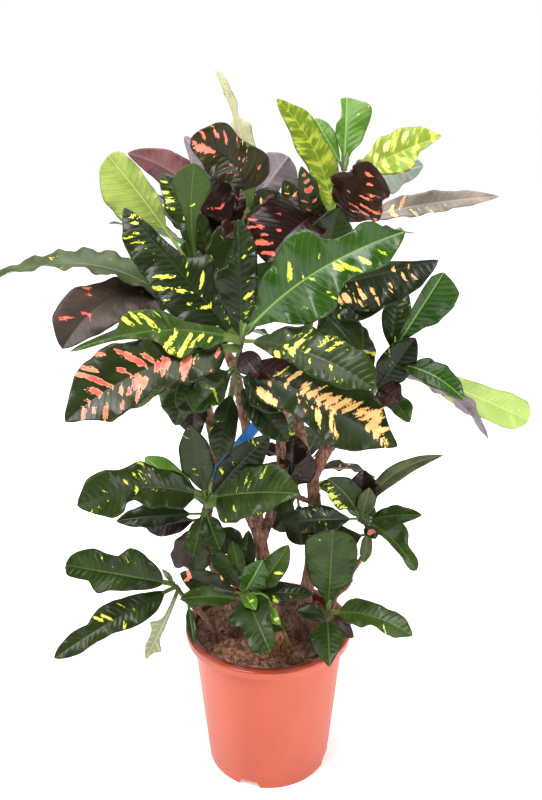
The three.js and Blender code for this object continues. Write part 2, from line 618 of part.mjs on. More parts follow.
// An upright peg that cuts the hole for one stem's planted foot.
function plantingPeg({ foot: [x, y], radius }) {
  const bottom = vector([x, y, SOIL_LEVEL - PLANTING_DEPTH - CLEARANCE]);
  const top = vector([x, y, SOIL_LEVEL + PLANTING_HOLE_HEADROOM]);
  const holeRadius = radius * (1 + BARK_SWELL) + CLEARANCE;
  return loft([bottom, top].map((centre) => ringAbout(centre, UP, holeRadius, WOOD_SIDES * 2)));
}

// The soil, with a plain hole for each planted stem.
function soil() {
  const holes = wasm.Manifold.union(Object.values(STEMS).map(plantingPeg));
  const fill = soilFill().subtract(channels(POT_WALL + CLEARANCE)).subtract(holes);
  return meshOf("soil", fill, COLOUR.soil);
}

// The direction in which a run of points sets off.
const setOff = (points) => points[1].clone().sub(points[0]).normalize();

// The rings of one run of wood, ending square to the shoot that grows on from it and just short of it.
function woodRings(start, startDirection, startRadius, run) {
  const twig = (SHOOTS[run.to] ?? FULL_SHOOTS[run.to]).twig.map(vector);
  const direction = setOff(twig);
  const end = twig[0].clone().addScaledVector(direction, -CLEARANCE);
  const points = [start, ...run.through.map(vector), end];
  return limbRings(points, [startRadius, run.radius], WOOD_SIDES, BARK_SWELL, startDirection, direction);
}

// The main run of a woody stem, straight where it is planted.
function mainRun({ foot, radius }, run) {
  const planted = ringAbout(vector([...foot, SOIL_LEVEL - PLANTING_DEPTH]), UP, radius, WOOD_SIDES);
  const collar = vector([...foot, SOIL_LEVEL + PLANTING_COLLAR]);
  return loft([planted, ...woodRings(collar, UP, radius, run)]);
}

// A side branch, which starts inside the stem that it grows from.
function sideRun(run) {
  const start = vector(run.from);
  return loft(woodRings(start, setOff([start, vector(run.through[0])]), run.radius * BRANCH_FLARE, run));
}

// A woody stem with its side branches, standing in the soil.
function woodyStem(name, stem) {
  const limbs = stem.runs.map((run) => (run.from ? sideRun(run) : mainRun(stem, run)));
  return meshOf(name, fuse(limbs), COLOUR.wood);
}

// The sections of a leaf along its rib: the stalk's foot, then each row of the blade's outline.
function leafStations(outline, width, stalkShare) {
  const foot = { at: 0, left: STALK_HALF_WIDTH, right: STALK_HALF_WIDTH, half: STALK_HALF_HEIGHT };
  const blade = OUTLINES[outline].map(([place, leftShare, rightShare]) => {
    const narrowest = place > BLADE_MIDDLE ? BLADE_TIP_HALF_WIDTH : STALK_HALF_WIDTH;
    return {
      at: mix(stalkShare, 1, place),
      left: Math.max((leftShare * width) / 2, narrowest),
      right: Math.max((rightShare * width) / 2, narrowest),
      half: place > 0 ? BLADE_THICKNESS / 2 : STALK_END_HALF_HEIGHT,
    };
  });
  return [foot, ...blade];
}

// The rib of a leaf. The curve passes half-way to its middle point, so the arch and bow are doubled.
function leafRib(root, end, up, left, arch, bow) {
  const middle = root.clone().lerp(end, 0.5).addScaledVector(up, arch * 2).addScaledVector(left, bow * 2);
  return new THREE.QuadraticBezierCurve3(root, middle, end);
}

// One leaf: a short stalk that widens into a folded blade along an arched rib.
function leafSolid(root, [, tip, width, outline, faces, arch, bow, twist]) {
  const end = vector(tip);
  const chord = end.clone().sub(root);
  const up = vector(faces).projectOnPlane(chord.clone().normalize()).normalize();
  const left = new THREE.Vector3().crossVectors(up, chord).normalize();
  const rib = leafRib(root, end, up, left, arch, bow);
  const stalkShare = Math.min(LONGEST_STALK_SHARE, STALK_LENGTH / chord.length());
  const rings = leafStations(outline, width, stalkShare).map((station) => {
    const centre = rib.getPoint(station.at);
    const along = rib.getTangent(station.at);
    const turn = THREE.MathUtils.degToRad(twist * station.at);
    const face = up.clone().projectOnPlane(along).normalize().applyAxisAngle(along, turn);
    const side = new THREE.Vector3().crossVectors(face, along);
    const point = (across, lift) => centre.clone().addScaledVector(side, across).addScaledVector(face, lift);
    const { left: leftWidth, right: rightWidth, half } = station;
    return [
      point(leftWidth, leftWidth * BLADE_FOLD + half),
      point(0, half),
      point(-rightWidth, rightWidth * BLADE_FOLD + half),
      point(-rightWidth, rightWidth * BLADE_FOLD - half),
      point(0, -half),
      point(leftWidth, leftWidth * BLADE_FOLD - half),
    ];
  });
  return loft(rings);
}

// Leaf rows for a shoot that is filled by the rule.
function ruledLeaves({ twig, leaves, heading, spread, reach, rise, seed }) {
  const random = randomNumbers(seed);
  const wander = () => mix(-RULED_WANDER, RULED_WANDER, random());
  const curve = new THREE.CatmullRomCurve3(twig.map(vector));
  return Array.from({ length: leaves }, (_, index) => {
    const share = (index + 0.5) / leaves;
    const place = mix(RULED_LOWEST_PLACE, 1, share);
    const fraction = (index * RULED_TURN) % 1;
    const bearing = THREE.MathUtils.degToRad(heading + mix(-spread, spread, fraction) + wander());
    const lift = THREE.MathUtils.degToRad(mix(...rise, share) + wander());
    const outward = new THREE.Vector3(Math.cos(bearing), Math.sin(bearing), 0);
    const heads = outward.clone().multiplyScalar(Math.cos(lift)).addScaledVector(UP, Math.sin(lift));
    const tip = curve.getPointAt(place).addScaledVector(heads, mix(...reach, random()));
    const width = mix(...RULED_WIDTH, random());
    const form = RULED_FORMS[Math.floor(random() * RULED_FORMS.length)];
    const faces = outward.addScaledVector(UP, 2);
    return [place, tip.toArray(), width, form, faces.toArray(), RULED_ARCH, 0, 0];
  });
}

// A leafy shoot: its twig with every leaf's foot sunk into it.
function leafyShoot(name, twig, leaves) {
  const points = twig.map(vector);
  const curve = new THREE.CatmullRomCurve3(points);
  const radii = [SHOOT_FOOT_RADIUS, SHOOT_TOP_RADIUS];
  const stem = loft(limbRings(points, radii, SHOOT_SIDES, 0, setOff(points), curve.getTangent(1)));
  const blades = leaves.map((leaf) => leafSolid(curve.getPointAt(leaf[0]), leaf));
  return meshOf(name, fuse([stem, ...blades]), COLOUR.leaf);
}

// The blank label: a band that rings a stem, with a strip leaning up from its front.
function tag() {
  const inside = TAG_STEM_RADIUS + CLEARANCE;
  const outside = inside + TAG_THICKNESS;
  const bottom = -TAG_BAND_HEIGHT / 2;
  const top = TAG_BAND_HEIGHT / 2;
  const profile = [
    new THREE.Vector2(inside, bottom),
    new THREE.Vector2(outside, bottom),
    new THREE.Vector2(outside, top),
    new THREE.Vector2(inside, top),
    new THREE.Vector2(inside, bottom),
  ];
  const band = solidOf(new THREE.LatheGeometry(profile, TAG_BAND_SIDES).rotateX(Math.PI / 2));
  const strip = new THREE.BoxGeometry(TAG_WIDTH, TAG_THICKNESS, TAG_LENGTH);
  strip.translate(0, -outside, TAG_LENGTH / 2 - TAG_BAND_HEIGHT);
  strip.rotateY(THREE.MathUtils.degToRad(TAG_LEAN));
  const mesh = meshOf("label", band.add(solidOf(strip)), COLOUR.tag);
  mesh.position.set(...TAG_PLACE);
  return mesh;
}

const plant = new THREE.Group();
plant.add(pot(), soil(), tag());
for (const [name, stem] of Object.entries(STEMS)) {
  plant.add(woodyStem(name, stem));
}
for (const [name, shoot] of Object.entries(SHOOTS)) {
  plant.add(leafyShoot(name, shoot.twig, shoot.leaves));
}
for (const [name, shoot] of Object.entries(FULL_SHOOTS)) {
  plant.add(leafyShoot(name, shoot.twig, ruledLeaves(shoot)));
}

export default plant;
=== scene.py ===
"""A potted croton: waved and spotted leaves on knotty stems, in a terracotta-coloured nursery pot."""

import logging
import math
from dataclasses import dataclass, field
from enum import Enum

import bpy
import numpy as np
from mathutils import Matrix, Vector


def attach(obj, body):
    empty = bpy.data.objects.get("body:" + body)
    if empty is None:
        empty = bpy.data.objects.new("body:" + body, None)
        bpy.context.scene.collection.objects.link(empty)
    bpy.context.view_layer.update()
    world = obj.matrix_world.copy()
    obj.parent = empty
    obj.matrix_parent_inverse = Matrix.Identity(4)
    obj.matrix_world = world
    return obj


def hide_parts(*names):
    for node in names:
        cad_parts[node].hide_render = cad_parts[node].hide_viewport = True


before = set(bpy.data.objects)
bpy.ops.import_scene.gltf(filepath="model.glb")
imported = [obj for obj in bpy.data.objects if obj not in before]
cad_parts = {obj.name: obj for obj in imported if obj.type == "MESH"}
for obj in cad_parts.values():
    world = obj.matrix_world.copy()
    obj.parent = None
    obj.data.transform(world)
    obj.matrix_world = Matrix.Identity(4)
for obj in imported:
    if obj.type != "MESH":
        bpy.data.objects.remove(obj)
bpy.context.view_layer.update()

BODY = "root"
WHITE = (1.0, 1.0, 1.0, 1.0)
MM = 0.001

LOG = logging.getLogger("croton")

# The sockets of a Mix node that blends colours.
MIX_SHARE = 0
MIX_FIRST = 6
MIX_SECOND = 7
MIX_COLOUR = 2

Span = tuple[float, float]
Point = tuple[float, float, float]
Colour = tuple[float, float, float, float]


def linear(code: str) -> Colour:
    """Gives the scene colour of a six-digit hex code.

    Args:
        code: The code.

    Returns:
        The colour, with full alpha.
    """
    shares = [int(code[i:i + 2], 16) / 255 for i in (0, 2, 4)]
    red, green, blue = (s / 12.92 if s <= 0.04045 else ((s + 0.055) / 1.055) ** 2.4 for s in shares)
    return (red, green, blue, 1.0)


def unit(vectors: np.ndarray) -> np.ndarray:
    """Gives vectors of length one."""
    return vectors / np.linalg.norm(vectors, axis=-1, keepdims=True)


def mix(start: float, end: float, share: float | np.ndarray) -> float | np.ndarray:
    """Gives the value a share of the way from start to end."""
    return start + (end - start) * share


def ease(low: float, high: float, value: np.ndarray) -> np.ndarray:
    """Rises smoothly from 0 at low to 1 at high."""
    share = np.clip((value - low) / (high - low), 0, 1)
    return share * share * (3 - 2 * share)


def steps_round(sides: int) -> np.ndarray:
    """Gives the angles of even steps round a circle, in radians."""
    return np.arange(sides) / sides * 2 * np.pi


def level(angle: float) -> np.ndarray:
    """Gives the level direction at an angle in radians from +X."""
    return np.array([math.cos(angle), math.sin(angle), 0.0])


def there_and_back(grid: np.ndarray) -> np.ndarray:
    """Gives a grid's columns and then its inner ones in reverse, which closes a ring round a blade."""
    return np.hstack([grid, grid[:, 1:-1][:, ::-1]])


def add_object(name: str, data: bpy.types.ID) -> bpy.types.Object:
    """Adds an object to the scene.

    Args:
        name: The object's name.
        data: The mesh, light or camera that it shows.

    Returns:
        The object.
    """
    made = bpy.data.objects.new(name, data)
    bpy.context.scene.collection.objects.link(made)
    return made


class Value:
    """A shader value, which adds Math nodes when it is used in an expression."""

    def __init__(self, shader: "Graph", socket: bpy.types.NodeSocket) -> None:
        """Wraps a node's output socket."""
        self.shader = shader
        self.socket = socket

    def _math(self, operation: str, first: "Value | float", second: "Value | float") -> "Value":
        """Adds one Math node.

        Args:
            operation: The Math node's operation.
            first: Its first input.
            second: Its second input.

        Returns:
            The node's value.
        """
        return self.shader.node("ShaderNodeMath", {"operation": operation}, {0: first, 1: second})

    def __add__(self, other: "Value | float") -> "Value":
        """Adds."""
        return self._math("ADD", self, other)

    def __radd__(self, other: float) -> "Value":
        """Adds, with the number first."""
        return self._math("ADD", other, self)

    def __sub__(self, other: "Value | float") -> "Value":
        """Subtracts."""
        return self._math("SUBTRACT", self, other)

    def __rsub__(self, other: float) -> "Value":
        """Subtracts from a number."""
        return self._math("SUBTRACT", other, self)

    def __mul__(self, other: "Value | float") -> "Value":
        """Multiplies."""
        return self._math("MULTIPLY", self, other)

    def __rmul__(self, other: float) -> "Value":
        """Multiplies, with the number first."""
        return self._math("MULTIPLY", other, self)

    def __truediv__(self, other: "Value | float") -> "Value":
        """Divides."""
        return self._math("DIVIDE", self, other)

    def __abs__(self) -> "Value":
        """Drops the sign."""
        return self._math("ABSOLUTE", self, 0.0)

    def most(self, other: "Value | float") -> "Value":
        """Gives the larger of two values."""
        return self._math("MAXIMUM", self, other)

    def part(self) -> "Value":
        """Gives what is left after the whole number below."""
        return self._math("FRACT", self, 0.0)

    def rise(self, low: "Value | float", high: "Value | float") -> "Value":
        """Rises smoothly from 0 at low to 1 at high.

        Args:
            low: Where the rise starts.
            high: Where it ends.

        Returns:
            The risen value.
        """
        inputs = {"Value": self, "From Min": low, "From Max": high}
        return self.shader.node("ShaderNodeMapRange", {"interpolation_type": "SMOOTHSTEP"}, inputs)


class Graph:
    """Builds the nodes of a material or of the surroundings."""

    def __init__(self, tree: bpy.types.NodeTree) -> None:
        """Takes the node tree."""
        self.tree = tree

    def node(self, kind: str, settings: dict | None = None, inputs: dict | None = None,
             output: int | str = 0) -> Value:
        """Adds a node.

        Args:
            kind: The node's type.
            settings: Its properties.
            inputs: Values or links for its sockets, by name or number.
            output: The output socket to give back.

        Returns:
            The node's value.
        """
        made = self.tree.nodes.new(kind)
        for key, setting in (settings or {}).items():
            setattr(made, key, setting)
        for key, given in (inputs or {}).items():
            self.feed(made.inputs[key], given)
        return Value(self, made.outputs[output])

    def feed(self, socket: bpy.types.NodeSocket, given: "Value | float | tuple") -> None:
        """Links a value to a socket, or sets a constant there.

        Args:
            socket: The input socket.
            given: A shader value, a number or a tuple.
        """
        if isinstance(given, Value):
            self.tree.links.new(given.socket, socket)
        else:
            socket.default_value = given

    def split(self, vector: Value) -> tuple[Value, Value, Value]:
        """Gives a vector's three numbers."""
        parts = self.node("ShaderNodeSeparateXYZ", {}, {0: vector}).socket.node
        return tuple(Value(self, output) for output in parts.outputs)


@dataclass(frozen=True)
class Cloud:
    """A noise: its cells in one unit, how many finer layers it has, and its stretch axis by axis."""

    scale: float
    detail: float = 3.0
    stretch: Point | None = None


@dataclass(frozen=True)
class Coat:
    """A colour that lies over another, where a value rises from the first number to the second."""

    code: str
    rise: Span
    share: float


class Shader(Graph):
    """Builds the nodes of one material."""

    def __init__(self, name: str) -> None:
        """Starts a material with one main shader.

        Args:
            name: The material's name.
        """
        self.material = bpy.data.materials.new(name)
        self.material.use_nodes = True
        super().__init__(self.material.node_tree)
        self.surface = self.tree.nodes["Principled BSDF"]

    def attribute(self, name: str) -> tuple[Value, Value, Value]:
        """Reads three numbers that the mesh holds at each point.

        Args:
            name: The attribute's name.

        Returns:
            The three numbers.
        """
        return self.split(self.node("ShaderNodeAttribute", {"attribute_name": name}, output="Vector"))

    def place(self) -> Value:
        """Gives the point's place on the piece, in metres."""
        return self.node("ShaderNodeTexCoord", output="Object")

    def vector(self, x: Value | float, y: Value | float, z: Value | float) -> Value:
        """Joins three numbers into a vector."""
        return self.node("ShaderNodeCombineXYZ", {}, {0: x, 1: y, 2: z})

    def stretch(self, vector: Value, scale: Point) -> Value:
        """Multiplies a vector by another, axis by axis."""
        return self.node("ShaderNodeVectorMath", {"operation": "MULTIPLY"}, {0: vector, 1: scale})

    def noise(self, vector: Value, cloud: Cloud) -> Value:
        """Gives cloudy noise about 0.5.

        Args:
            vector: Where to read it.
            cloud: What it is like.

        Returns:
            The noise.
        """
        if cloud.stretch:
            vector = self.stretch(vector, cloud.stretch)
        inputs = {"Vector": vector, "Scale": cloud.scale, "Detail": cloud.detail}
        return self.node("ShaderNodeTexNoise", {"noise_dimensions": "3D"}, inputs)

    def blend(self, share: Value | float, first: Value | Colour, second: Value | Colour) -> Value:
        """Mixes two colours.

        Args:
            share: The share of the second colour.
            first: The first colour.
            second: The second colour.

        Returns:
            The mixed colour.
        """
        inputs = {MIX_SHARE: share, MIX_FIRST: first, MIX_SECOND: second}
        return self.node("ShaderNodeMix", {"data_type": "RGBA"}, inputs, MIX_COLOUR)

    def tint(self, share: Value, first: str, second: str) -> Value:
        """Mixes two colours that are given by their hex codes."""
        return self.blend(share, linear(first), linear(second))

    def paint(self, under: Value, share: Value, code: str) -> Value:
        """Lays a share of a colour, given by its hex code, over another."""
        return self.blend(share, under, linear(code))

    def coat(self, under: Value, value: Value, coat: Coat) -> Value:
        """Lays a coat over a colour, where a value reaches it."""
        return self.paint(under, value.rise(*coat.rise) * coat.share, coat.code)

    def bump(self, height: Value, depth: float, strength: float = 1.0) -> None:
        """Raises the surface's shading by a height.

        Args:
            height: The height, in units of the depth.
            depth: The depth in metres.
            strength: How strongly it shows.
        """
        inputs = {"Height": height, "Distance": depth, "Strength": strength}
        self.feed(self.surface.inputs["Normal"], self.node("ShaderNodeBump", {}, inputs))

    def finish(self, **inputs: "Value | float | Colour") -> bpy.types.Material:
        """Sets the main shader's sockets.

        Args:
            inputs: Values by socket name, with _ for a space.

        Returns:
            The material.
        """
        for key, given in inputs.items():
            self.feed(self.surface.inputs[key.replace("_", " ")], given)
        return self.material


# The leaves' pattern. Lengths are in millimetres, and a pair says where a mark starts and where it is full.
STALK_COLOUR = "5C7038"
STALK_END = (0.02, 0.0)
BLADE_START = (0.0, 0.05)
VEIN_PITCH = 10.5
VEIN_SLOPE = 0.62
VEIN_CURL = 0.12
VEIN_WANDER = 4.0
VEIN_WANDERING = Cloud(160.0)
VEIN_CELL = (0.88, 1.0)
VEIN_RIM = (1.0, 0.7)
VEIN_START = (1.0, 4.0)
RIB_HALF_WIDTH = 1.2
RIB_TAPER = 0.9
RIB_EDGE = 0.6
RIB_RIM = (1.0, 0.8)
STRIPE_CELL = (0.7, 0.1)
STRIPE_RIM = (0.1, 0.4)
MARGIN_RIM = (0.955, 0.99)
MARGIN_SHARE = 0.6

# The leaves' two greens, and how far each leaf's own chance shifts them.
TONES = Cloud(34.0)
TONE_RISE = (0.28, 0.75)
TONE_SHIFT = 0.5

# The leaves' flecks, which are drawn out along the veins.
STREAK = (0.2, 0.085, 40.0)
FRECKLES = Cloud(1.0, 4.0)
FRECKLE_CROWDS = Cloud(22.0, 1.0)
CROWD_SHARE = 0.6
FLECK_LIMIT = 0.8
FLECK_EDGE = 0.02
FLECK_START = (1.0, 2.2)
DAPPLES = Cloud(0.62)
DAPPLE_RISE = (0.46, 0.64)

# The ragged coloured patches, whose heart has a second colour.
PATCH_EDGES = Cloud(1.6, 4.0)
PATCH_FINE_EDGES = Cloud(300.0)
PATCH_RAGGED = 8.0
PATCH_FINE_RAGGED = 4.0
PATCH_RISE = (-0.25, 0.25)
PATCH_OVER_RIB = (0.5, -0.5)
HEARTS = Cloud(60.0, 1.0)
HEART_SHIFT = 0.3
HEART_HUE = (0.35, 0.65)
HEART_RISE = (0.3, 1.3)
HEART_VARYING = 0.6
HEART_LEAST = 0.4

# The leaves' roughness and relief, whose shares sink the cells, the veins and the rib.
TONE_ROUGH = 0.12
VEIN_ROUGH = 0.1
CELL_SINK = -0.6
VEIN_SINK = -0.3
RIB_SINK = -0.4
PORES = Cloud(700.0)
PORE_HEIGHT = 0.35
LEAF_RELIEF = 0.6 * MM
LEAF_STRENGTH = 0.4


def vein_cell(s: Shader, run: Value, seat: Value) -> Value:
    """Gives the share of the way from between two side veins, at 0, to a vein, at 1.

    Args:
        s: The leaf's shader.
        run: The distance along the veins' pattern, in millimetres.
        seat: The point's place on the leaf.

    Returns:
        The share.
    """
    wander = (s.noise(seat, VEIN_WANDERING) - 0.5) * VEIN_WANDER
    return abs(((run + wander) / VEIN_PITCH).part() - 0.5) * 2.0


@dataclass(frozen=True)
class LeafFinish:
    """The upper face of a kind of leaf."""

    deep: str
    light: str
    vein: str
    fleck: str
    patch: str
    patch_heart: str
    margin: str = "3E4A2A"
    vein_share: float = 0.16
    rib_share: float = 0.5
    fleck_share: float = 0.08
    mottle: float = 0.0
    stripe: float = 0.0
    gloss: float = 0.24
    shine: float = 0.24

    def material(self, name: str) -> bpy.types.Material:
        """Makes the material.

        Args:
            name: The material's name.

        Returns:
            The material.
        """
        s = Shader(name)
        run, across, along = s.attribute("blade")
        mark, rim, chance = s.attribute("traits")
        seat = s.vector(run * MM, across * MM, chance)
        cell = vein_cell(s, run, seat)
        side = abs(across)
        blade = along.rise(*BLADE_START)
        vein = cell.rise(*VEIN_CELL) * rim.rise(*VEIN_RIM) * side.rise(*VEIN_START) * blade
        rib_half = RIB_HALF_WIDTH - RIB_TAPER * along
        rib = side.rise(rib_half + RIB_EDGE, rib_half) * rim.rise(*RIB_RIM)
        cloud = s.noise(seat, TONES)
        tone = (cloud + (chance - 0.5) * TONE_SHIFT).rise(*TONE_RISE)
        leaf = s.tint(tone, self.deep, self.light)
        stripe = cell.rise(*STRIPE_CELL) * rim.rise(*STRIPE_RIM)
        leaf = s.paint(leaf, stripe * self.stripe, self.fleck)
        leaf = s.paint(leaf, vein * self.vein_share, self.vein)
        streak = s.vector(run * STREAK[0], across * STREAK[1], chance * STREAK[2])
        freckle = s.noise(streak, FRECKLES) + (s.noise(seat, FRECKLE_CROWDS) - 0.5) * CROWD_SHARE
        limit = FLECK_LIMIT - self.fleck_share
        fleck = freckle.rise(limit, limit + FLECK_EDGE) * blade * side.rise(*FLECK_START)
        leaf = s.paint(leaf, fleck, self.fleck)
        if self.mottle > 0:
            dapple = s.noise(streak, DAPPLES)
            leaf = s.paint(leaf, dapple.rise(*DAPPLE_RISE) * self.mottle * blade, self.fleck)
        ragged = mark + (s.noise(streak, PATCH_EDGES) - 0.5) * PATCH_RAGGED
        ragged = ragged + (s.noise(seat, PATCH_FINE_EDGES) - 0.5) * PATCH_FINE_RAGGED
        hue = (s.noise(seat, HEARTS) + (chance - 0.5) * HEART_SHIFT).rise(*HEART_HUE)
        leaf = s.paint(leaf, ragged.rise(*PATCH_RISE), self.patch)
        heart = ragged.rise(*HEART_RISE) * (hue * HEART_VARYING + HEART_LEAST)
        leaf = s.paint(leaf, heart, self.patch_heart)
        leaf = s.paint(leaf, rib * self.rib_share * ragged.rise(*PATCH_OVER_RIB), self.vein)
        leaf = s.paint(leaf, rim.rise(*MARGIN_RIM) * MARGIN_SHARE, self.margin)
        leaf = s.paint(leaf, along.rise(*STALK_END), STALK_COLOUR)
        rough = self.gloss + cloud * TONE_ROUGH + vein * VEIN_ROUGH
        sunk = cell * cell * CELL_SINK + vein * VEIN_SINK + rib * RIB_SINK
        s.bump(sunk + s.noise(seat, PORES) * PORE_HEIGHT, LEAF_RELIEF, LEAF_STRENGTH)
        return s.finish(Base_Color=leaf, Roughness=rough, Specular_IOR_Level=self.shine)


@dataclass(frozen=True)
class UnderFinish:
    """The lower face of a kind of leaf, matt and with raised veins."""

    ground: str
    cloud: str
    vein: str
    rough: float = 0.5
    cloud_rough: float = 0.12
    clouds: Cloud = Cloud(40.0)
    cloud_rise: Span = (0.3, 0.7)
    vein_edge: Span = (0.82, 1.0)
    vein_rim: Span = (1.0, 0.75)
    vein_share: float = 0.5
    rib_half_width: float = 1.9
    rib_taper: float = 1.3
    rib_edge: float = 0.8
    rib_share: float = 0.8
    vein_height: float = 0.7
    pores: Cloud = Cloud(1100.0)
    pore_height: float = 0.3
    relief: float = 0.5 * MM
    relief_strength: float = 0.6

    def material(self, name: str) -> bpy.types.Material:
        """Makes the material.

        Args:
            name: The material's name.

        Returns:
            The material.
        """
        s = Shader(name)
        run, across, along = s.attribute("blade")
        _, rim, chance = s.attribute("traits")
        seat = s.vector(run * MM, across * MM, chance)
        cell = vein_cell(s, run, seat)
        side = abs(across)
        vein = cell.rise(*self.vein_edge) * rim.rise(*self.vein_rim)
        rib_half = self.rib_half_width - self.rib_taper * along
        rib = side.rise(rib_half + self.rib_edge, rib_half)
        cloud = s.noise(seat, self.clouds)
        leaf = s.tint(cloud.rise(*self.cloud_rise), self.ground, self.cloud)
        leaf = s.paint(leaf, vein * self.vein_share, self.vein)
        leaf = s.paint(leaf, rib * self.rib_share, self.vein)
        pores = s.noise(seat, self.pores) * self.pore_height
        s.bump(vein * self.vein_height + rib + pores, self.relief, self.relief_strength)
        return s.finish(Base_Color=leaf, Roughness=self.rough + cloud * self.cloud_rough)


class Top(Enum):
    """The upper faces of the leaves."""

    DEEP = LeafFinish("16200A", "27350F", "445C22", "B9C832", "D2DA46", "E4DC6A", rib_share=0.2)
    MID = LeafFinish("20300A", "344A13", "628232", "B9CC32", "C6D644", "DCE46A", fleck_share=0.03,
                     rib_share=0.4)
    BRIGHT = LeafFinish("183406", "294A0E", "7CA646", "A6C634", "B8D232", "D0E04C", fleck_share=0.01,
                        rib_share=0.8, gloss=0.2, shine=0.36)
    FRESH = LeafFinish("48701A", "62882A", "A0C46C", "D2DC50", "D2DE4E", "E4EA70", fleck_share=0.06,
                       vein_share=0.3, gloss=0.3)
    LIME = LeafFinish("6F8432", "8C9E46", "C4CE88", "BCC070", "CFD05C", "DEDA84", margin="6A7A35",
                      vein_share=0.5, stripe=0.22, gloss=0.36)
    DAPPLE = LeafFinish("5E7A20", "7E9430", "B8C068", "D4D460", "DEDC70", "E8E48C", margin="6A7A35",
                        vein_share=0.25, mottle=0.85, gloss=0.3)
    KHAKI = LeafFinish("7C8260", "A8A680", "C8C8A0", "BCB890", "C8C89A", "D8D4AC", margin="70704C",
                       vein_share=0.4, stripe=0.4, fleck_share=0.0, gloss=0.42)
    PALE = LeafFinish("9CB45A", "B0C66C", "C8DA8C", "C6D67C", "CFDC6C", "DDE48C", margin="8AA04A",
                      vein_share=0.35, gloss=0.36)
    GOLD = LeafFinish("566C12", "72861E", "9CA840", "B0B83C", "C6C23E", "D8CE62", margin="6A4A35",
                      vein_share=0.25, mottle=0.7, gloss=0.3)
    EMBER = LeafFinish("181E08", "2A3414", "3C4828", "E9A15C", "EDA07C", "E9564F", margin="5A2A22",
                       fleck_share=0.02, rib_share=0.15)
    HONEY = LeafFinish("141C08", "253110", "3C5828", "E8C458", "F0AC70", "F3D084", fleck_share=0.06,
                       rib_share=0.15)
    BLUSH = LeafFinish("787064", "A6948C", "C0A8A0", "D8CC84", "EEDC94", "EC907C", margin="B0504A",
                       vein_share=0.3, gloss=0.3)
    WINE = LeafFinish("1C0B08", "321712", "4A2620", "A8413A", "E0604E", "EC7A66", margin="6A2A28",
                      fleck_share=0.0, rib_share=0.2)
    CLARET = LeafFinish("241208", "38200E", "48221A", "D9603A", "E87858", "F09A80", margin="6A2A28",
                        fleck_share=0.02, rib_share=0.2)
    BRONZE = LeafFinish("282408", "3C3810", "140E06", "E0B27A", "EC7A66", "F0948A", margin="46401C",
                        fleck_share=0.04, vein_share=0.5)
    SLATE = LeafFinish("34421F", "55603A", "75825A", "D8C25A", "E0604C", "F0A088", margin="8A5A5A",
                       fleck_share=0.0, gloss=0.36)
    PLUM = LeafFinish("352A22", "4E4034", "5C4A48", "D8756A", "DE5A50", "E88468", margin="A05A60",
                      fleck_share=0.0, rib_share=0.3, gloss=0.36)


class Under(Enum):
    """The lower faces of the leaves."""

    GREEN = UnderFinish("4B6B3A", "5F7F4A", "8AA56A")
    GREY = UnderFinish("6C786A", "84907F", "A3AC9A")
    MAUVE = UnderFinish("6E6068", "8C7E84", "A3929A")
    MAROON = UnderFinish("4A1D20", "6A3034", "7F454A")
    LIME = UnderFinish("A9BE62", "C2D27E", "DDE6A8")
    PINK = UnderFinish("9C7A70", "B4938A", "C9A79C")


@dataclass(frozen=True)
class TwigFinish:
    """The young twigs' green skin with brown scars."""

    green: str = "3E4A26"
    brown: str = "6E5A3C"
    clouds: Cloud = Cloud(70.0)
    brown_rise: Span = (0.35, 0.7)
    scars: Cloud = Cloud(420.0)
    scar: Coat = Coat("2A1E14", (0.6, 0.7), 0.6)
    grain: Cloud = Cloud(500.0)
    relief: float = 0.6 * MM
    rough: float = 0.55
    cloud_rough: float = 0.2

    def material(self, name: str) -> bpy.types.Material:
        """Makes the material.

        Args:
            name: The material's name.

        Returns:
            The material.
        """
        s = Shader(name)
        place = s.place()
        cloud = s.noise(place, self.clouds)
        skin = s.tint(cloud.rise(*self.brown_rise), self.green, self.brown)
        skin = s.coat(skin, s.noise(place, self.scars), self.scar)
        s.bump(s.noise(place, self.grain), self.relief)
        return s.finish(Base_Color=skin, Roughness=self.rough + cloud * self.cloud_rough)


@dataclass(frozen=True)
class BarkFinish:
    """The stems' brown fissured bark, with painted shade low down and with pale wood on the cut stump at the
    front.
    """

    dark: str = "5E3A2E"
    light: str = "875A48"
    clouds: Cloud = Cloud(38.0)
    light_rise: Span = (0.35, 0.65)
    grain: Cloud = Cloud(330.0, 6.0, (1.0, 1.0, 0.3))
    ridge: Coat = Coat("AA8066", (0.5, 0.66), 0.7)
    crack: Coat = Coat("33201A", (0.47, 0.36), 0.85)
    specks: Cloud = Cloud(900.0)
    speck: Coat = Coat("D0AE90", (0.62, 0.7), 0.4)
    # Painted shade that darkens the bark low down, near the compost.
    low_shade: Coat = Coat("3A241C", (0.32, 0.25), 0.4)
    wood: str = "B88458"
    wood_heights: Span = (0.3, 0.255)
    wood_front: Span = (-0.048, -0.056)
    wood_grain: Span = (0.3, 0.6)
    wood_share: float = 0.8
    pores: Cloud = Cloud(1300.0)
    pore_height: float = 0.4
    relief: float = 1.6 * MM
    rough: float = 0.74
    grain_rough: float = 0.2

    def material(self, name: str) -> bpy.types.Material:
        """Makes the material.

        Args:
            name: The material's name.

        Returns:
            The material.
        """
        s = Shader(name)
        place = s.place()
        grain = s.noise(place, self.grain)
        bark = s.tint(s.noise(place, self.clouds).rise(*self.light_rise), self.dark, self.light)
        bark = s.coat(bark, grain, self.ridge)
        bark = s.coat(bark, grain, self.crack)
        bark = s.coat(bark, s.noise(place, self.specks), self.speck)
        _, y, z = s.split(place)
        # Painted shade low down on the stems.
        bark = s.coat(bark, z, self.low_shade)
        stump = z.rise(*self.wood_heights) * y.rise(*self.wood_front) * grain.rise(*self.wood_grain)
        bark = s.paint(bark, stump * self.wood_share, self.wood)
        s.bump(grain + s.noise(place, self.pores) * self.pore_height, self.relief)
        return s.finish(Base_Color=bark, Roughness=self.rough + grain * self.grain_rough)


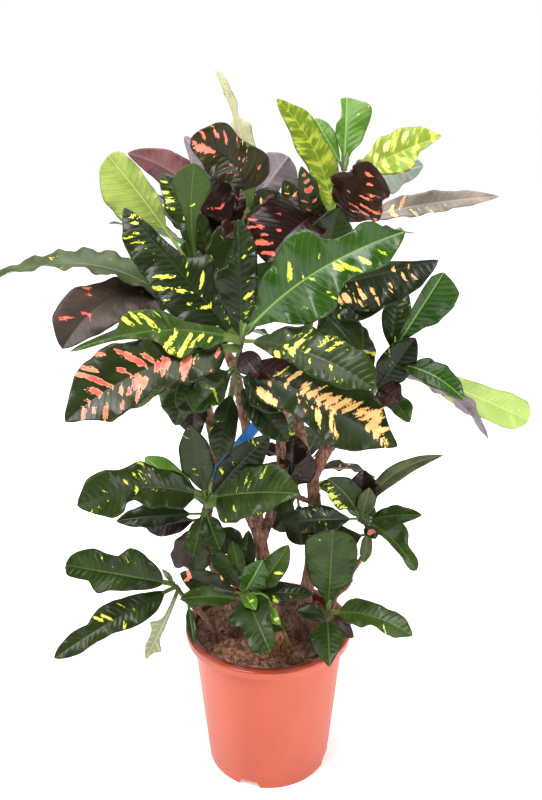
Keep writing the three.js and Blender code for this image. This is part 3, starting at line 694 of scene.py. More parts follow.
@dataclass(frozen=True)
class CompostFinish:
    """Crumbly compost, with painted shade that darkens it towards the right, the back and the left of the
    pot.
    """

    dark: str
    light: str
    speck: str
    coarse: Cloud = Cloud(110.0, 6.0)
    fine: Cloud = Cloud(800.0, 4.0)
    light_rise: Span = (0.4, 0.62)
    speck_rise: Span = (0.53, 0.66)
    speck_share: float = 0.9
    hollow: Coat = Coat("1C100C", (0.46, 0.34), 0.8)
    shade: str = "2A1710"
    shade_share: float = 0.6
    shade_right: Span = (0.0, 0.08)
    shade_back: Span = (-0.06, 0.03)
    shade_left: Span = (-0.06, -0.11)
    fine_height: float = 0.6
    relief: float = 2.2 * MM
    rough: float = 0.82
    coarse_rough: float = 0.15

    def material(self, name: str) -> bpy.types.Material:
        """Makes the material.

        Args:
            name: The material's name.

        Returns:
            The material.
        """
        s = Shader(name)
        place = s.place()
        coarse = s.noise(place, self.coarse)
        fine = s.noise(place, self.fine)
        soil = s.tint(coarse.rise(*self.light_rise), self.dark, self.light)
        soil = s.paint(soil, fine.rise(*self.speck_rise) * self.speck_share, self.speck)
        soil = s.coat(soil, fine, self.hollow)
        x, y, _ = s.split(place)
        # Painted shade towards the right, the back and the left of the pot.
        shade = x.rise(*self.shade_right).most(y.rise(*self.shade_back)).most(x.rise(*self.shade_left))
        soil = s.paint(soil, shade * self.shade_share, self.shade)
        s.bump(coarse + fine * self.fine_height, self.relief)
        return s.finish(Base_Color=soil, Roughness=self.rough + coarse * self.coarse_rough)


@dataclass(frozen=True)
class PotFinish:
    """The pot's satin moulded plastic, scuffed and dusty and glossy on the lip, with painted shade on the
    lip's top and left side, inside the mouth and under the lip, in metres.
    """

    deep: str = "BA492D"
    light: str = "C45537"
    clouds: Cloud = Cloud(9.0, 3.0, (1.0, 1.0, 0.45))
    light_rise: Span = (0.3, 0.7)
    scuffs: Cloud = Cloud(55.0, 5.0, (1.0, 1.0, 7.0))
    scuffed: Coat = Coat("F09A84", (0.66, 0.78), 0.25)
    grit: Cloud = Cloud(900.0, 2.0)
    dust: Coat = Coat("8A4A38", (0.7, 0.76), 0.22)
    # Painted shade on the lip's top and its left side, where the foliage shades it.
    lip_shade: str = "8C2E20"
    lip_top_share: float = 0.62
    lip_side_share: float = 0.8
    # Painted shade on the inner wall of the mouth.
    inside: str = "4A1C14"
    inside_shade_share: float = 0.75
    # Painted shadow in a thin band just under the lip.
    shadow_below_lip: str = "8A3626"
    shadow_below_lip_share: float = 0.4
    lip_foot: float = 0.2262
    lip_ease: float = 0.0023
    lip_top: Span = (0.2355, 0.238)
    lip_shaded_side: Span = (-0.05, -0.13)
    mouth_squared: Span = (0.0168, 0.0162)
    shadow_below_lip_heights: Span = (0.2245, 0.2278)
    pores: Cloud = Cloud(1500.0)
    pore_height: float = 0.3
    scuff_height: float = 0.5
    relief: float = 0.12 * MM
    relief_strength: float = 0.5
    rough: float = 0.3
    cloud_rough: float = 0.08
    scuff_rough: float = 0.06
    lip_gloss: float = 0.24

    def material(self, name: str) -> bpy.types.Material:
        """Makes the material.

        Args:
            name: The material's name.

        Returns:
            The material.
        """
        s = Shader(name)
        place = s.place()
        cloud = s.noise(place, self.clouds)
        skin = s.tint(cloud.rise(*self.light_rise), self.deep, self.light)
        scuff = s.noise(place, self.scuffs)
        skin = s.coat(skin, scuff, self.scuffed)
        skin = s.coat(skin, s.noise(place, self.grit), self.dust)
        x, y, z = s.split(place)
        lip = z.rise(self.lip_foot, self.lip_foot + self.lip_ease)
        # Painted shade on the lip: over its top, and more on its left side.
        shaded_lip_side = lip * x.rise(*self.lip_shaded_side) * self.lip_side_share
        skin = s.paint(skin, (z.rise(*self.lip_top) * self.lip_top_share).most(shaded_lip_side), self.lip_shade)
        # Painted shade inside the pot's mouth.
        mouth = lip * (x * x + y * y).rise(*self.mouth_squared)
        skin = s.paint(skin, mouth * self.inside_shade_share, self.inside)
        # Painted shadow in a thin band just under the lip.
        below, above = self.shadow_below_lip_heights
        shadow_below_lip = z.rise(below, self.lip_foot) * z.rise(above, self.lip_foot)
        skin = s.paint(skin, shadow_below_lip * self.shadow_below_lip_share, self.shadow_below_lip)
        relief = s.noise(place, self.pores) * self.pore_height + scuff * self.scuff_height
        s.bump(relief, self.relief, self.relief_strength)
        rough = self.rough + cloud * self.cloud_rough + scuff * self.scuff_rough - lip * self.lip_gloss
        return s.finish(Base_Color=skin, Roughness=rough)


@dataclass(frozen=True)
class LabelFinish:
    """The blank label's thin blue plastic, with faint scratches."""

    deep: str = "1F5FA8"
    light: str = "2F74BE"
    clouds: Cloud = Cloud(45.0)
    light_rise: Span = (0.3, 0.7)
    scratches: Cloud = Cloud(30.0, 3.0, (40.0, 1.0, 6.0))
    scratch: Coat = Coat("7FB0DC", (0.66, 0.72), 0.3)
    relief: float = 0.1 * MM
    relief_strength: float = 0.5
    rough: float = 0.4
    cloud_rough: float = 0.1

    def material(self, name: str) -> bpy.types.Material:
        """Makes the material.

        Args:
            name: The material's name.

        Returns:
            The material.
        """
        s = Shader(name)
        place = s.place()
        cloud = s.noise(place, self.clouds)
        skin = s.tint(cloud.rise(*self.light_rise), self.deep, self.light)
        scratch = s.noise(place, self.scratches)
        skin = s.coat(skin, scratch, self.scratch)
        s.bump(scratch, self.relief, self.relief_strength)
        return s.finish(Base_Color=skin, Roughness=self.rough + cloud * self.cloud_rough)


@dataclass(frozen=True)
class FloorFinish:
    """The studio's plain pale floor, which is lit evenly all round but is dimmer by the pot."""

    deep: str = "F4F2F2"
    light: str = "FAF8F8"
    clouds: Cloud = Cloud(3.0)
    light_rise: Span = (0.2, 0.8)
    rough: float = 0.4
    glow_reach: Span = (0.25, 1.1)
    glow_near: Colour = (0.36, 0.35, 0.35, 1.0)

    def material(self, name: str) -> bpy.types.Material:
        """Makes the material.

        Args:
            name: The material's name.

        Returns:
            The material.
        """
        s = Shader(name)
        place = s.place()
        tone = s.tint(s.noise(place, self.clouds).rise(*self.light_rise), self.deep, self.light)
        away = s.node("ShaderNodeVectorMath", {"operation": "LENGTH"}, {0: place}, "Value")
        glow = s.blend(away.rise(*self.glow_reach), self.glow_near, WHITE)
        return s.finish(Base_Color=tone, Roughness=self.rough, Emission_Color=glow, Emission_Strength=1.0)


class Finish(Enum):
    """What the pieces other than leaves are made of."""

    TWIG = TwigFinish()
    BARK = BarkFinish()
    COMPOST = CompostFinish("4A2A1E", "A46C50", "CC9E7E")
    CRUMB = CompostFinish("845840", "BE8A64", "E6BA92")
    POT_PLASTIC = PotFinish()
    LABEL_PLASTIC = LabelFinish()
    FLOOR = FloorFinish()


class Palette:
    """Makes each material once, when it is first asked for."""

    PREFIXES = {Top: "leaf_", Under: "underside_", Finish: ""}

    def __init__(self) -> None:
        """Starts with no materials made."""
        self.made: dict[Enum, bpy.types.Material] = {}

    def __getitem__(self, kind: Enum) -> bpy.types.Material:
        """Gives the material of a kind of finish.

        Args:
            kind: The finish.

        Returns:
            Its material.
        """
        if kind not in self.made:
            self.made[kind] = kind.value.material(self.PREFIXES[type(kind)] + kind.name.lower())
        return self.made[kind]


PALETTE = Palette()


@dataclass
class Skin:
    """Gathers closed skins of rings and turns them into one piece."""

    name: str
    points: list[np.ndarray] = field(default_factory=list)
    faces: list[tuple] = field(default_factory=list)
    slots: list[np.ndarray] = field(default_factory=list)
    attributes: dict[str, list[tuple[int, np.ndarray]]] = field(default_factory=dict)
    finishes: list[Enum] = field(default_factory=list)
    count: int = 0

    def _slot(self, finish: Enum) -> int:
        """Gives the number of a finish on this piece.

        Args:
            finish: The finish.

        Returns:
            Its number, which is a new one at its first use.
        """
        if finish not in self.finishes:
            self.finishes.append(finish)
        return self.finishes.index(finish)

    def add(self, rings: np.ndarray, finish: Enum, lower: Enum | None = None, upper_columns: int = 0,
            **attributes: np.ndarray) -> None:
        """Adds a closed skin with a face at each end.

        Args:
            rings: Points by ring, then round the ring, in millimetres.
            finish: The finish of the skin, or of its upper columns.
            lower: The finish of the other columns.
            upper_columns: How many columns of faces the first finish covers.
            attributes: Three numbers for each point, by name.
        """
        ring_count, around = rings.shape[:2]
        index = np.arange(ring_count * around).reshape(ring_count, around) + self.count
        here = index[:-1]
        above = index[1:]
        quads = np.stack([here, np.roll(here, -1, 1), np.roll(above, -1, 1), above], axis=-1)
        self.faces.extend(map(tuple, quads.reshape(-1, 4).tolist()))
        self.faces.append(tuple(index[0][::-1].tolist()))
        self.faces.append(tuple(index[-1].tolist()))
        columns = np.full(around, self._slot(finish))
        if lower is not None:
            columns[upper_columns:] = self._slot(lower)
        self.slots.append(np.tile(columns, ring_count - 1))
        self.slots.append(np.full(2, columns[0]))
        self.points.append(rings.reshape(-1, 3))
        for key, values in attributes.items():
            self.attributes.setdefault(key, []).append((self.count, values.reshape(-1, 3)))
        self.count += ring_count * around

    def piece(self) -> bpy.types.Object:
        """Makes the Blender object.

        Returns:
            The object, in metres and with its finishes.
        """
        mesh = bpy.data.meshes.new(self.name)
        mesh.from_pydata(np.concatenate(self.points) * MM, [], self.faces)
        mesh.polygons.foreach_set("use_smooth", np.ones(len(mesh.polygons), bool))
        mesh.polygons.foreach_set("material_index", np.concatenate(self.slots).astype(np.int32))
        for key, values in self.attributes.items():
            whole = np.zeros((self.count, 3), np.float32)
            for start, part in values:
                whole[start:start + len(part)] = part
            mesh.attributes.new(key, "FLOAT_VECTOR", "POINT").data.foreach_set("vector", whole.ravel())
        for finish in self.finishes:
            mesh.materials.append(PALETTE[finish])
        mesh.update()
        return add_object(self.name, mesh)


def settle(piece: bpy.types.Object, slot: str, *nodes: str) -> bpy.types.Object:
    """Fixes a piece to the plant and reports it.

    Args:
        piece: The piece.
        slot: Not used.
        nodes: The CAD nodes that it stands for.

    Returns:
        The piece.
    """
    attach(piece, BODY)
    if nodes:
        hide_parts(*nodes)
    LOG.info("%s: %d faces", piece.name, len(piece.data.polygons))
    return piece


FORWARD = np.array([0.0, -1.0, 0.0])
UPWARD = np.array([0.0, 0.0, 1.0])


class Route:
    """A smooth curve through given points."""

    FINENESS = 240

    def __init__(self, points: list[Point] | np.ndarray) -> None:
        """Takes the points and measures the curve.

        Args:
            points: The points, in millimetres.
        """
        self.points = np.asarray(points, float)
        self.shares = np.linspace(0, 1, self.FINENESS + 1)
        self.places = self._places(self.shares)
        steps = np.linalg.norm(np.diff(self.places, axis=0), axis=1)
        self.lengths = np.concatenate([[0.0], np.cumsum(steps)])
        self.length = float(self.lengths[-1])

    def _places(self, shares: np.ndarray) -> np.ndarray:
        """Gives points on the curve, whose bends depend on the square root of the points' distances.

        Args:
            shares: Shares of the curve's own measure, which gives each span the same.

        Returns:
            One point for each share.
        """
        given = self.points
        ends = np.vstack([2 * given[0] - given[1], given, 2 * given[-1] - given[-2]])
        spans = len(given) - 1
        place = np.clip(shares * spans, 0, spans - 1e-9)
        span = place.astype(int)
        t = (place - span)[:, None]
        a, b, c, d = (ends[span + k] for k in range(4))
        ab, bc, cd = (np.sqrt(np.linalg.norm(q - p, axis=1, keepdims=True))
                      for p, q in ((a, b), (b, c), (c, d)))
        leave = ((b - a) / ab - (c - a) / (ab + bc) + (c - b) / bc) * bc
        reach = ((c - b) / bc - (d - b) / (bc + cd) + (d - c) / cd) * bc
        cubic = 2 * b - 2 * c + leave + reach
        square = -3 * b + 3 * c - 2 * leave - reach
        return b + leave * t + square * t ** 2 + cubic * t ** 3

    def at(self, shares: np.ndarray) -> np.ndarray:
        """Gives points at shares of the curve's length."""
        wanted = np.asarray(shares) * self.length
        return self._places(np.interp(wanted, self.lengths, self.shares))

    def point(self, share: float) -> np.ndarray:
        """Gives the point at one share of the curve's length."""
        return self.at(np.array([share]))[0]

    def rings(self, radii: np.ndarray, sides: int) -> np.ndarray:
        """Gives the rings of a tube at even steps along the curve, each from its front round.

        Args:
            radii: The radius at each ring, or at each ring and side.
            sides: How many points a ring has.

        Returns:
            The rings' points.
        """
        count = len(radii)
        centres = self.at(np.linspace(0, 1, count))
        along = unit(np.gradient(centres, axis=0))
        flat = unit(FORWARD - along * (along @ FORWARD)[:, None])
        beside = np.cross(along, flat)
        turns = steps_round(sides)
        spread = np.broadcast_to(radii.reshape(count, -1), (count, sides))
        outward = flat[:, None] * np.cos(turns)[:, None] + beside[:, None] * np.sin(turns)[:, None]
        return centres[:, None] + outward * spread[..., None]


def ripple(rng: np.random.Generator, rows: int, columns: int, cells: tuple[int, int]) -> np.ndarray:
    """Gives smooth seeded noise from -1 to 1 on a grid that closes round its columns.

    Args:
        rng: The seeded source.
        rows: The grid's rows.
        columns: The grid's columns.
        cells: How many cells of noise there are along and round.

    Returns:
        The noise at each row and column.
    """
    knots = rng.uniform(-1, 1, (cells[0] + 2, cells[1]))
    u = np.linspace(0, cells[0], rows)[:, None]
    v = (np.arange(columns) / columns * cells[1])[None, :]
    i = u.astype(int)
    j = v.astype(int)
    fu = ease(0, 1, u - i)
    fv = ease(0, 1, v - j)
    right = (j + 1) % cells[1]
    low = mix(knots[i, j], knots[i, right], fv)
    high = mix(knots[i + 1, j], knots[i + 1, right], fv)
    return mix(low, high, fu)


class Form(Enum):
    """Blade outlines: the place along the blade, then the half-widths on its left and right, as shares."""

    OVAL = ((0, 0.06, 0.06), (0.18, 0.52, 0.52), (0.42, 0.98, 0.98), (0.68, 0.92, 0.92), (0.89, 0.5, 0.5),
            (1, 0, 0))
    SHELL = ((0, 0.06, 0.06), (0.44, 0.07, 0.07), (0.52, 0.5, 0.3), (0.6, 0.95, 0.48), (0.7, 1.08, 0.54),
             (0.8, 1.06, 0.58), (0.88, 0.9, 0.56), (0.95, 0.64, 0.46), (1, 0, 0))
    SPADE = ((0, 0.08, 0.08), (0.4, 0.14, 0.14), (0.56, 0.26, 0.26), (0.68, 0.5, 0.5), (0.78, 0.86, 0.86),
             (0.86, 1, 1), (0.94, 0.7, 0.7), (1, 0, 0))
    LOBE = ((0, 0.1, 0.1), (0.3, 0.5, 0.6), (0.55, 0.8, 0.85), (0.75, 0.8, 0.8), (0.9, 0.5, 0.45),
            (1, 0, 0))
    BLOTCHED = ((0, 0.06, 0.06), (0.2, 0.5, 0.4), (0.42, 0.94, 0.85), (0.54, 0.95, 1.06),
                (0.64, 0.92, 1.04), (0.71, 0.88, 0.8), (0.77, 0.8, 0.44), (0.86, 0.58, 0.26),
                (0.94, 0.3, 0.14), (1, 0, 0))
    MANTLE = ((0, 0.08, 0.08), (0.15, 0.5, 0.3), (0.3, 0.95, 0.36), (0.45, 0.82, 0.5), (0.6, 0.94, 0.64),
              (0.76, 0.74, 0.8), (0.88, 0.5, 0.72), (0.95, 0.3, 0.4), (1, 0, 0))
    STRAP = ((0, 0.08, 0.08), (0.2, 0.4, 0.5), (0.4, 0.62, 0.85), (0.6, 0.74, 0.96), (0.78, 0.92, 0.96),
             (0.9, 0.86, 0.72), (0.96, 0.6, 0.4), (1, 0, 0))
    BOOT = ((0, 0.2, 0.2), (0.15, 0.66, 0.66), (0.29, 0.78, 0.94), (0.41, 0.68, 0.98), (0.5, 0.6, 0.62),
            (0.6, 0.52, 0.58), (0.75, 0.46, 0.7), (0.9, 0.36, 0.66), (0.97, 0.22, 0.4), (1, 0, 0))
    LAP = ((0, 0.06, 0.06), (0.2, 0.44, 0.44), (0.36, 0.8, 0.8), (0.55, 0.95, 0.93), (0.72, 1.02, 0.96),
           (0.86, 1.04, 0.88), (0.95, 0.78, 0.66), (1, 0, 0))
    KITE = ((0, 0.1, 0.1), (0.2, 0.6, 0.7), (0.4, 0.92, 1), (0.6, 0.7, 0.96), (0.8, 0.4, 0.62),
            (0.92, 0.18, 0.28), (1, 0, 0))
    DROOP = ((0, 0.1, 0.1), (0.2, 0.6, 0.3), (0.42, 1, 0.34), (0.58, 0.9, 0.3), (0.72, 0.44, 0.3),
             (0.86, 0.4, 0.34), (0.94, 0.34, 0.3), (1, 0, 0))
    HOOD = ((0, 0.1, 0.1), (0.2, 0.5, 0.6), (0.45, 0.66, 0.98), (0.7, 0.6, 1), (0.86, 0.36, 0.78),
            (0.95, 0.16, 0.4), (1, 0, 0))
    PADDLE = ((0, 0.1, 0.1), (0.1, 0.5, 0.6), (0.2, 0.7, 0.8), (0.3, 0.8, 0.83), (0.4, 0.86, 0.74),
              (0.5, 0.9, 0.82), (0.6, 0.95, 0.96), (0.7, 0.93, 1.05), (0.8, 0.77, 0.88), (0.88, 0.44, 0.56),
              (0.94, 0.22, 0.3), (1, 0, 0))
    PINCHED = ((0, 0.1, 0.1), (0.22, 0.5, 0.6), (0.4, 0.8, 0.9), (0.5, 0.8, 0.9), (0.62, 0.2, 0.25),
               (0.72, 0.3, 0.45), (0.85, 0.34, 0.5), (0.93, 0.3, 0.4), (1, 0, 0))
    LANCE = ((0, 0.08, 0.08), (0.2, 0.7, 0.7), (0.45, 1, 1), (0.75, 0.7, 0.7), (1, 0, 0))
    SMALL = ((0, 0.1, 0.1), (0.3, 0.85, 0.85), (0.65, 0.95, 0.95), (0.9, 0.45, 0.45), (1, 0, 0))
    GUITAR = ((0, 0.06, 0.06), (0.16, 0.5, 0.45), (0.32, 0.8, 0.72), (0.5, 0.6, 0.62), (0.64, 0.82, 0.7),
              (0.8, 1, 0.96), (0.93, 0.62, 0.6), (1, 0, 0))
    WAVED = ((0, 0.08, 0.08), (0.15, 0.5, 0.6), (0.3, 0.95, 0.8), (0.45, 0.78, 0.98), (0.6, 0.96, 0.8),
             (0.76, 0.7, 0.86), (0.9, 0.45, 0.42), (1, 0, 0))
    FLAG = ((0, 0.06, 0.06), (0.14, 0.3, 0.33), (0.3, 0.6, 0.76), (0.42, 0.74, 0.82), (0.49, 0.85, 0.78),
            (0.55, 0.78, 0.64), (0.61, 0.46, 0.46), (0.67, 0.34, 0.42), (0.74, 0.35, 0.47),
            (0.8, 0.42, 0.48), (0.86, 0.36, 0.46), (0.92, 0.15, 0.32), (1, 0, 0))
    SAIL = ((0, 0.08, 0.08), (0.08, 0.5, 0.35), (0.25, 0.8, 0.6), (0.4, 0.92, 0.66), (0.5, 0.98, 0.66),
            (0.56, 0.5, 0.66), (0.66, 0.24, 0.68), (0.78, 0.22, 0.6), (0.88, 0.2, 0.44), (0.95, 0.14, 0.24),
            (1, 0, 0))
    SKEW = ((0, 0.2, 0.1), (0.06, 0.45, 0.24), (0.13, 0.62, 0.25), (0.17, 0.57, 0.25), (0.22, 0.8, 0.26),
            (0.29, 1.02, 0.32), (0.34, 0.9, 0.48), (0.38, 0.83, 0.6), (0.445, 0.48, 0.68), (0.51, 0.3, 0.7),
            (0.59, 0.24, 0.74), (0.64, 0.18, 0.64), (0.7, 0.14, 0.24), (0.81, 0.12, 0.16), (0.92, 0.1, 0.1),
            (1, 0, 0))
    BROAD = ((0, 0.2, 0.1), (0.1, 0.75, 0.3), (0.2, 0.85, 0.45), (0.28, 0.9, 0.6), (0.38, 0.76, 0.72),
             (0.46, 0.7, 0.82), (0.55, 0.8, 0.92), (0.64, 0.86, 1), (0.72, 0.9, 0.92), (0.8, 0.86, 0.8),
             (0.86, 0.62, 0.62), (0.92, 0.36, 0.36), (1, 0, 0))
    BLUNT = ((0, 0.1, 0.1), (0.14, 0.5, 0.4), (0.3, 0.92, 0.62), (0.4, 1, 0.62), (0.5, 0.98, 0.82),
             (0.6, 0.96, 0.86), (0.7, 0.96, 0.8), (0.8, 0.95, 0.78), (0.92, 0.72, 0.42), (1, 0, 0))
    FIDDLE = ((0, 0.1, 0.2), (0.05, 0.16, 0.5), (0.1, 0.26, 0.65), (0.25, 0.43, 0.74), (0.4, 0.57, 0.61),
              (0.55, 0.61, 0.55), (0.7, 0.55, 0.65), (0.78, 0.44, 0.6), (0.85, 0.35, 0.46),
              (0.95, 0.21, 0.26), (1, 0.08, 0.1))
    SHOULDER = ((0, 0.1, 0.1), (0.1, 0.55, 0.25), (0.2, 0.9, 0.37), (0.3, 0.96, 0.6), (0.38, 0.97, 0.9),
                (0.43, 0.95, 0.9), (0.5, 0.9, 0.45), (0.6, 0.84, 0.32), (0.72, 0.78, 0.26),
                (0.82, 0.66, 0.22), (0.9, 0.42, 0.16), (0.96, 0.2, 0.1), (1, 0, 0))
    TREFOIL = ((0, 0.08, 0.08), (0.1, 0.2, 0.3), (0.22, 0.35, 0.5), (0.37, 0.51, 0.75), (0.46, 0.65, 0.89),
               (0.54, 0.71, 0.96), (0.62, 0.68, 0.92), (0.68, 0.54, 0.78), (0.73, 0.36, 0.74),
               (0.78, 0.33, 0.76), (0.86, 0.36, 0.82), (0.92, 0.3, 0.8), (0.97, 0.2, 0.55), (1, 0.1, 0.2))
    OAK = ((0, 0.08, 0.08), (0.1, 0.1, 0.18), (0.24, 0.2, 0.4), (0.42, 0.26, 0.5), (0.51, 0.25, 0.55),
           (0.62, 0.14, 0.61), (0.72, 0.12, 0.63), (0.85, 0.13, 0.53), (0.94, 0.16, 0.31), (1, 0.05, 0.05))
    MITTEN = ((0, 0.1, 0.1), (0.18, 0.4, 0.68), (0.32, 0.5, 0.92), (0.42, 0.58, 1), (0.55, 0.64, 0.62),
              (0.66, 0.8, 0.66), (0.72, 0.66, 0.72), (0.77, 0.42, 0.74), (0.88, 0.4, 0.62),
              (0.96, 0.36, 0.42), (1, 0.1, 0.1))
    LADLE = ((0, 0.1, 0.1), (0.14, 0.66, 0.38), (0.3, 0.8, 0.6), (0.42, 0.68, 0.74), (0.52, 0.56, 0.74),
             (0.6, 0.52, 0.6), (0.66, 0.48, 0.42), (0.78, 0.52, 0.48), (0.9, 0.36, 0.34), (1, 0, 0))
    PENNANT = ((0, 0.1, 0.1), (0.2, 0.4, 0.86), (0.34, 0.46, 1.14), (0.5, 0.42, 1.24), (0.66, 0.3, 1.16),
               (0.8, 0.16, 0.92), (0.9, 0.1, 0.6), (0.96, 0.06, 0.34), (1, 0, 0))
    FAN = ((0, 0.1, 0.1), (0.24, 0.22, 0.36), (0.5, 0.32, 0.84), (0.72, 0.36, 1), (0.88, 0.34, 0.94),
           (0.95, 0.2, 0.6), (1, 0, 0))
    CUP = ((0, 0.2, 0.4), (0.1, 0.5, 0.9), (0.2, 0.74, 1.1), (0.3, 0.86, 1.1), (0.4, 0.92, 1),
           (0.58, 1, 0.86), (0.7, 0.99, 0.66), (0.8, 0.88, 0.46), (0.92, 0.48, 0.22), (1, 0, 0))
    SCALLOP = ((0, 0.2, 0.2), (0.15, 0.8, 0.66), (0.29, 0.92, 0.9), (0.42, 0.78, 0.9), (0.54, 0.72, 0.6),
               (0.7, 0.74, 0.74), (0.84, 0.6, 0.72), (0.93, 0.34, 0.4), (1, 0, 0))
    MIRROR_SCALLOP = ((0, 0.2, 0.2), (0.15, 0.8, 0.6), (0.3, 0.75, 0.74), (0.42, 0.84, 0.86),
                      (0.49, 0.6, 0.98), (0.56, 0.42, 0.88), (0.63, 0.5, 0.8), (0.68, 0.8, 0.8),
                      (0.76, 0.9, 0.87), (0.86, 0.7, 0.78), (0.94, 0.4, 0.4), (1, 0, 0))
    TONGUE = ((0, 0.2, 0.2), (0.35, 0.26, 0.26), (0.48, 0.3, 0.6), (0.57, 0.34, 1.25), (0.63, 0.3, 0.8),
              (0.74, 0.5, 0.66), (0.83, 0.95, 0.66), (0.89, 0.4, 0.5), (1, 0, 0))

    def half_widths(self, places: np.ndarray, side: int, rounding: float) -> np.ndarray:
        """Gives the blade's half-width on one side, as a share.

        Args:
            places: Places along the blade.
            side: LEFT or RIGHT.
            rounding: How round the tip is, from 1 for a pointed one.

        Returns:
            The half-width at each place.
        """
        rows = np.array(self.value)
        at = rows[:, 0]
        filled = rows[:, 1 + side] ** rounding
        slopes = np.diff(filled) / np.diff(at)
        inner = np.where(slopes[:-1] * slopes[1:] > 0,
                         2 * slopes[:-1] * slopes[1:] / (slopes[:-1] + slopes[1:] + 1e-12), 0)
        turns = np.concatenate([[slopes[0]], inner, [slopes[-1] * TIP_STEEPNESS]])
        i = np.clip(np.searchsorted(at, places, "right") - 1, 0, len(at) - 2)
        span = at[i + 1] - at[i]
        t = (places - at[i]) / span
        low = filled[i] * (1 + 2 * t) * (1 - t) ** 2 + turns[i] * span * t * (1 - t) ** 2
        high = filled[i + 1] * t ** 2 * (3 - 2 * t) + turns[i + 1] * span * t ** 2 * (t - 1)
        return np.maximum(low + high, 0) ** (1 / rounding)


# How finely a leaf is meshed, and the sizes that all leaves share, in millimetres or as shares.
ROW_PITCH = 2.4
FEWEST_ROWS = 26
MOST_ROWS = 92
COLUMN_PITCH = 3.6
FEWEST_COLUMNS = 6
MOST_COLUMNS = 15
STALK_LENGTH = 22
LONGEST_STALK_SHARE = 0.16
STALK_HALF_WIDTH = 2.1
STALK_HALF_HEIGHT = 1.7
BLADE_HALF_HEIGHT = 0.42
JOIN_HALF_HEIGHT = 1.3
BLADE_THIN_FROM = 0.07
BLADE_FLAT_FROM = 0.08
TIP_HALF_WIDTH = 0.25
NARROW_FROM = 0.4
TIP_STEEPNESS = 1.3
RIB_REACH = (2.0, 1.0)
RIB_FULL_FROM = 0.1
RIB_FADE = 0.7
FOLD_RISE = 1.6
FOLD_CURL = 0.6
WAVE_GROWTH = 0.035
WAVE_FADE = 0.6
WAVE_HALF_WIDTH = 14
FINE_WAVE_SHARE = 0.3
FINE_WAVE_TURNS = 4.6
QUILT_SIDES = (0.04, 0.25)
QUILT_START = (0.04, 0.15)
QUILT_HALF_WIDTH = 16
BLADE_FOLD = 0.22
STALK_ROUNDNESS = 2.0
BLADE_ROUNDNESS = 7.0
COLUMN_CROWDING = 1.15
RIB_GROOVE = 0.35
RIB_RIDGE = 1.5
PATTERN_SHIFT = 900
WAVE_PITCHES = (34, 58)
WAVE_STRENGTHS = (0.7, 1.25)
QUILT = 0.5
LEFT = 0
RIGHT = 1
NO_MARK = -30.0

Mark = tuple[float, float, float, float]


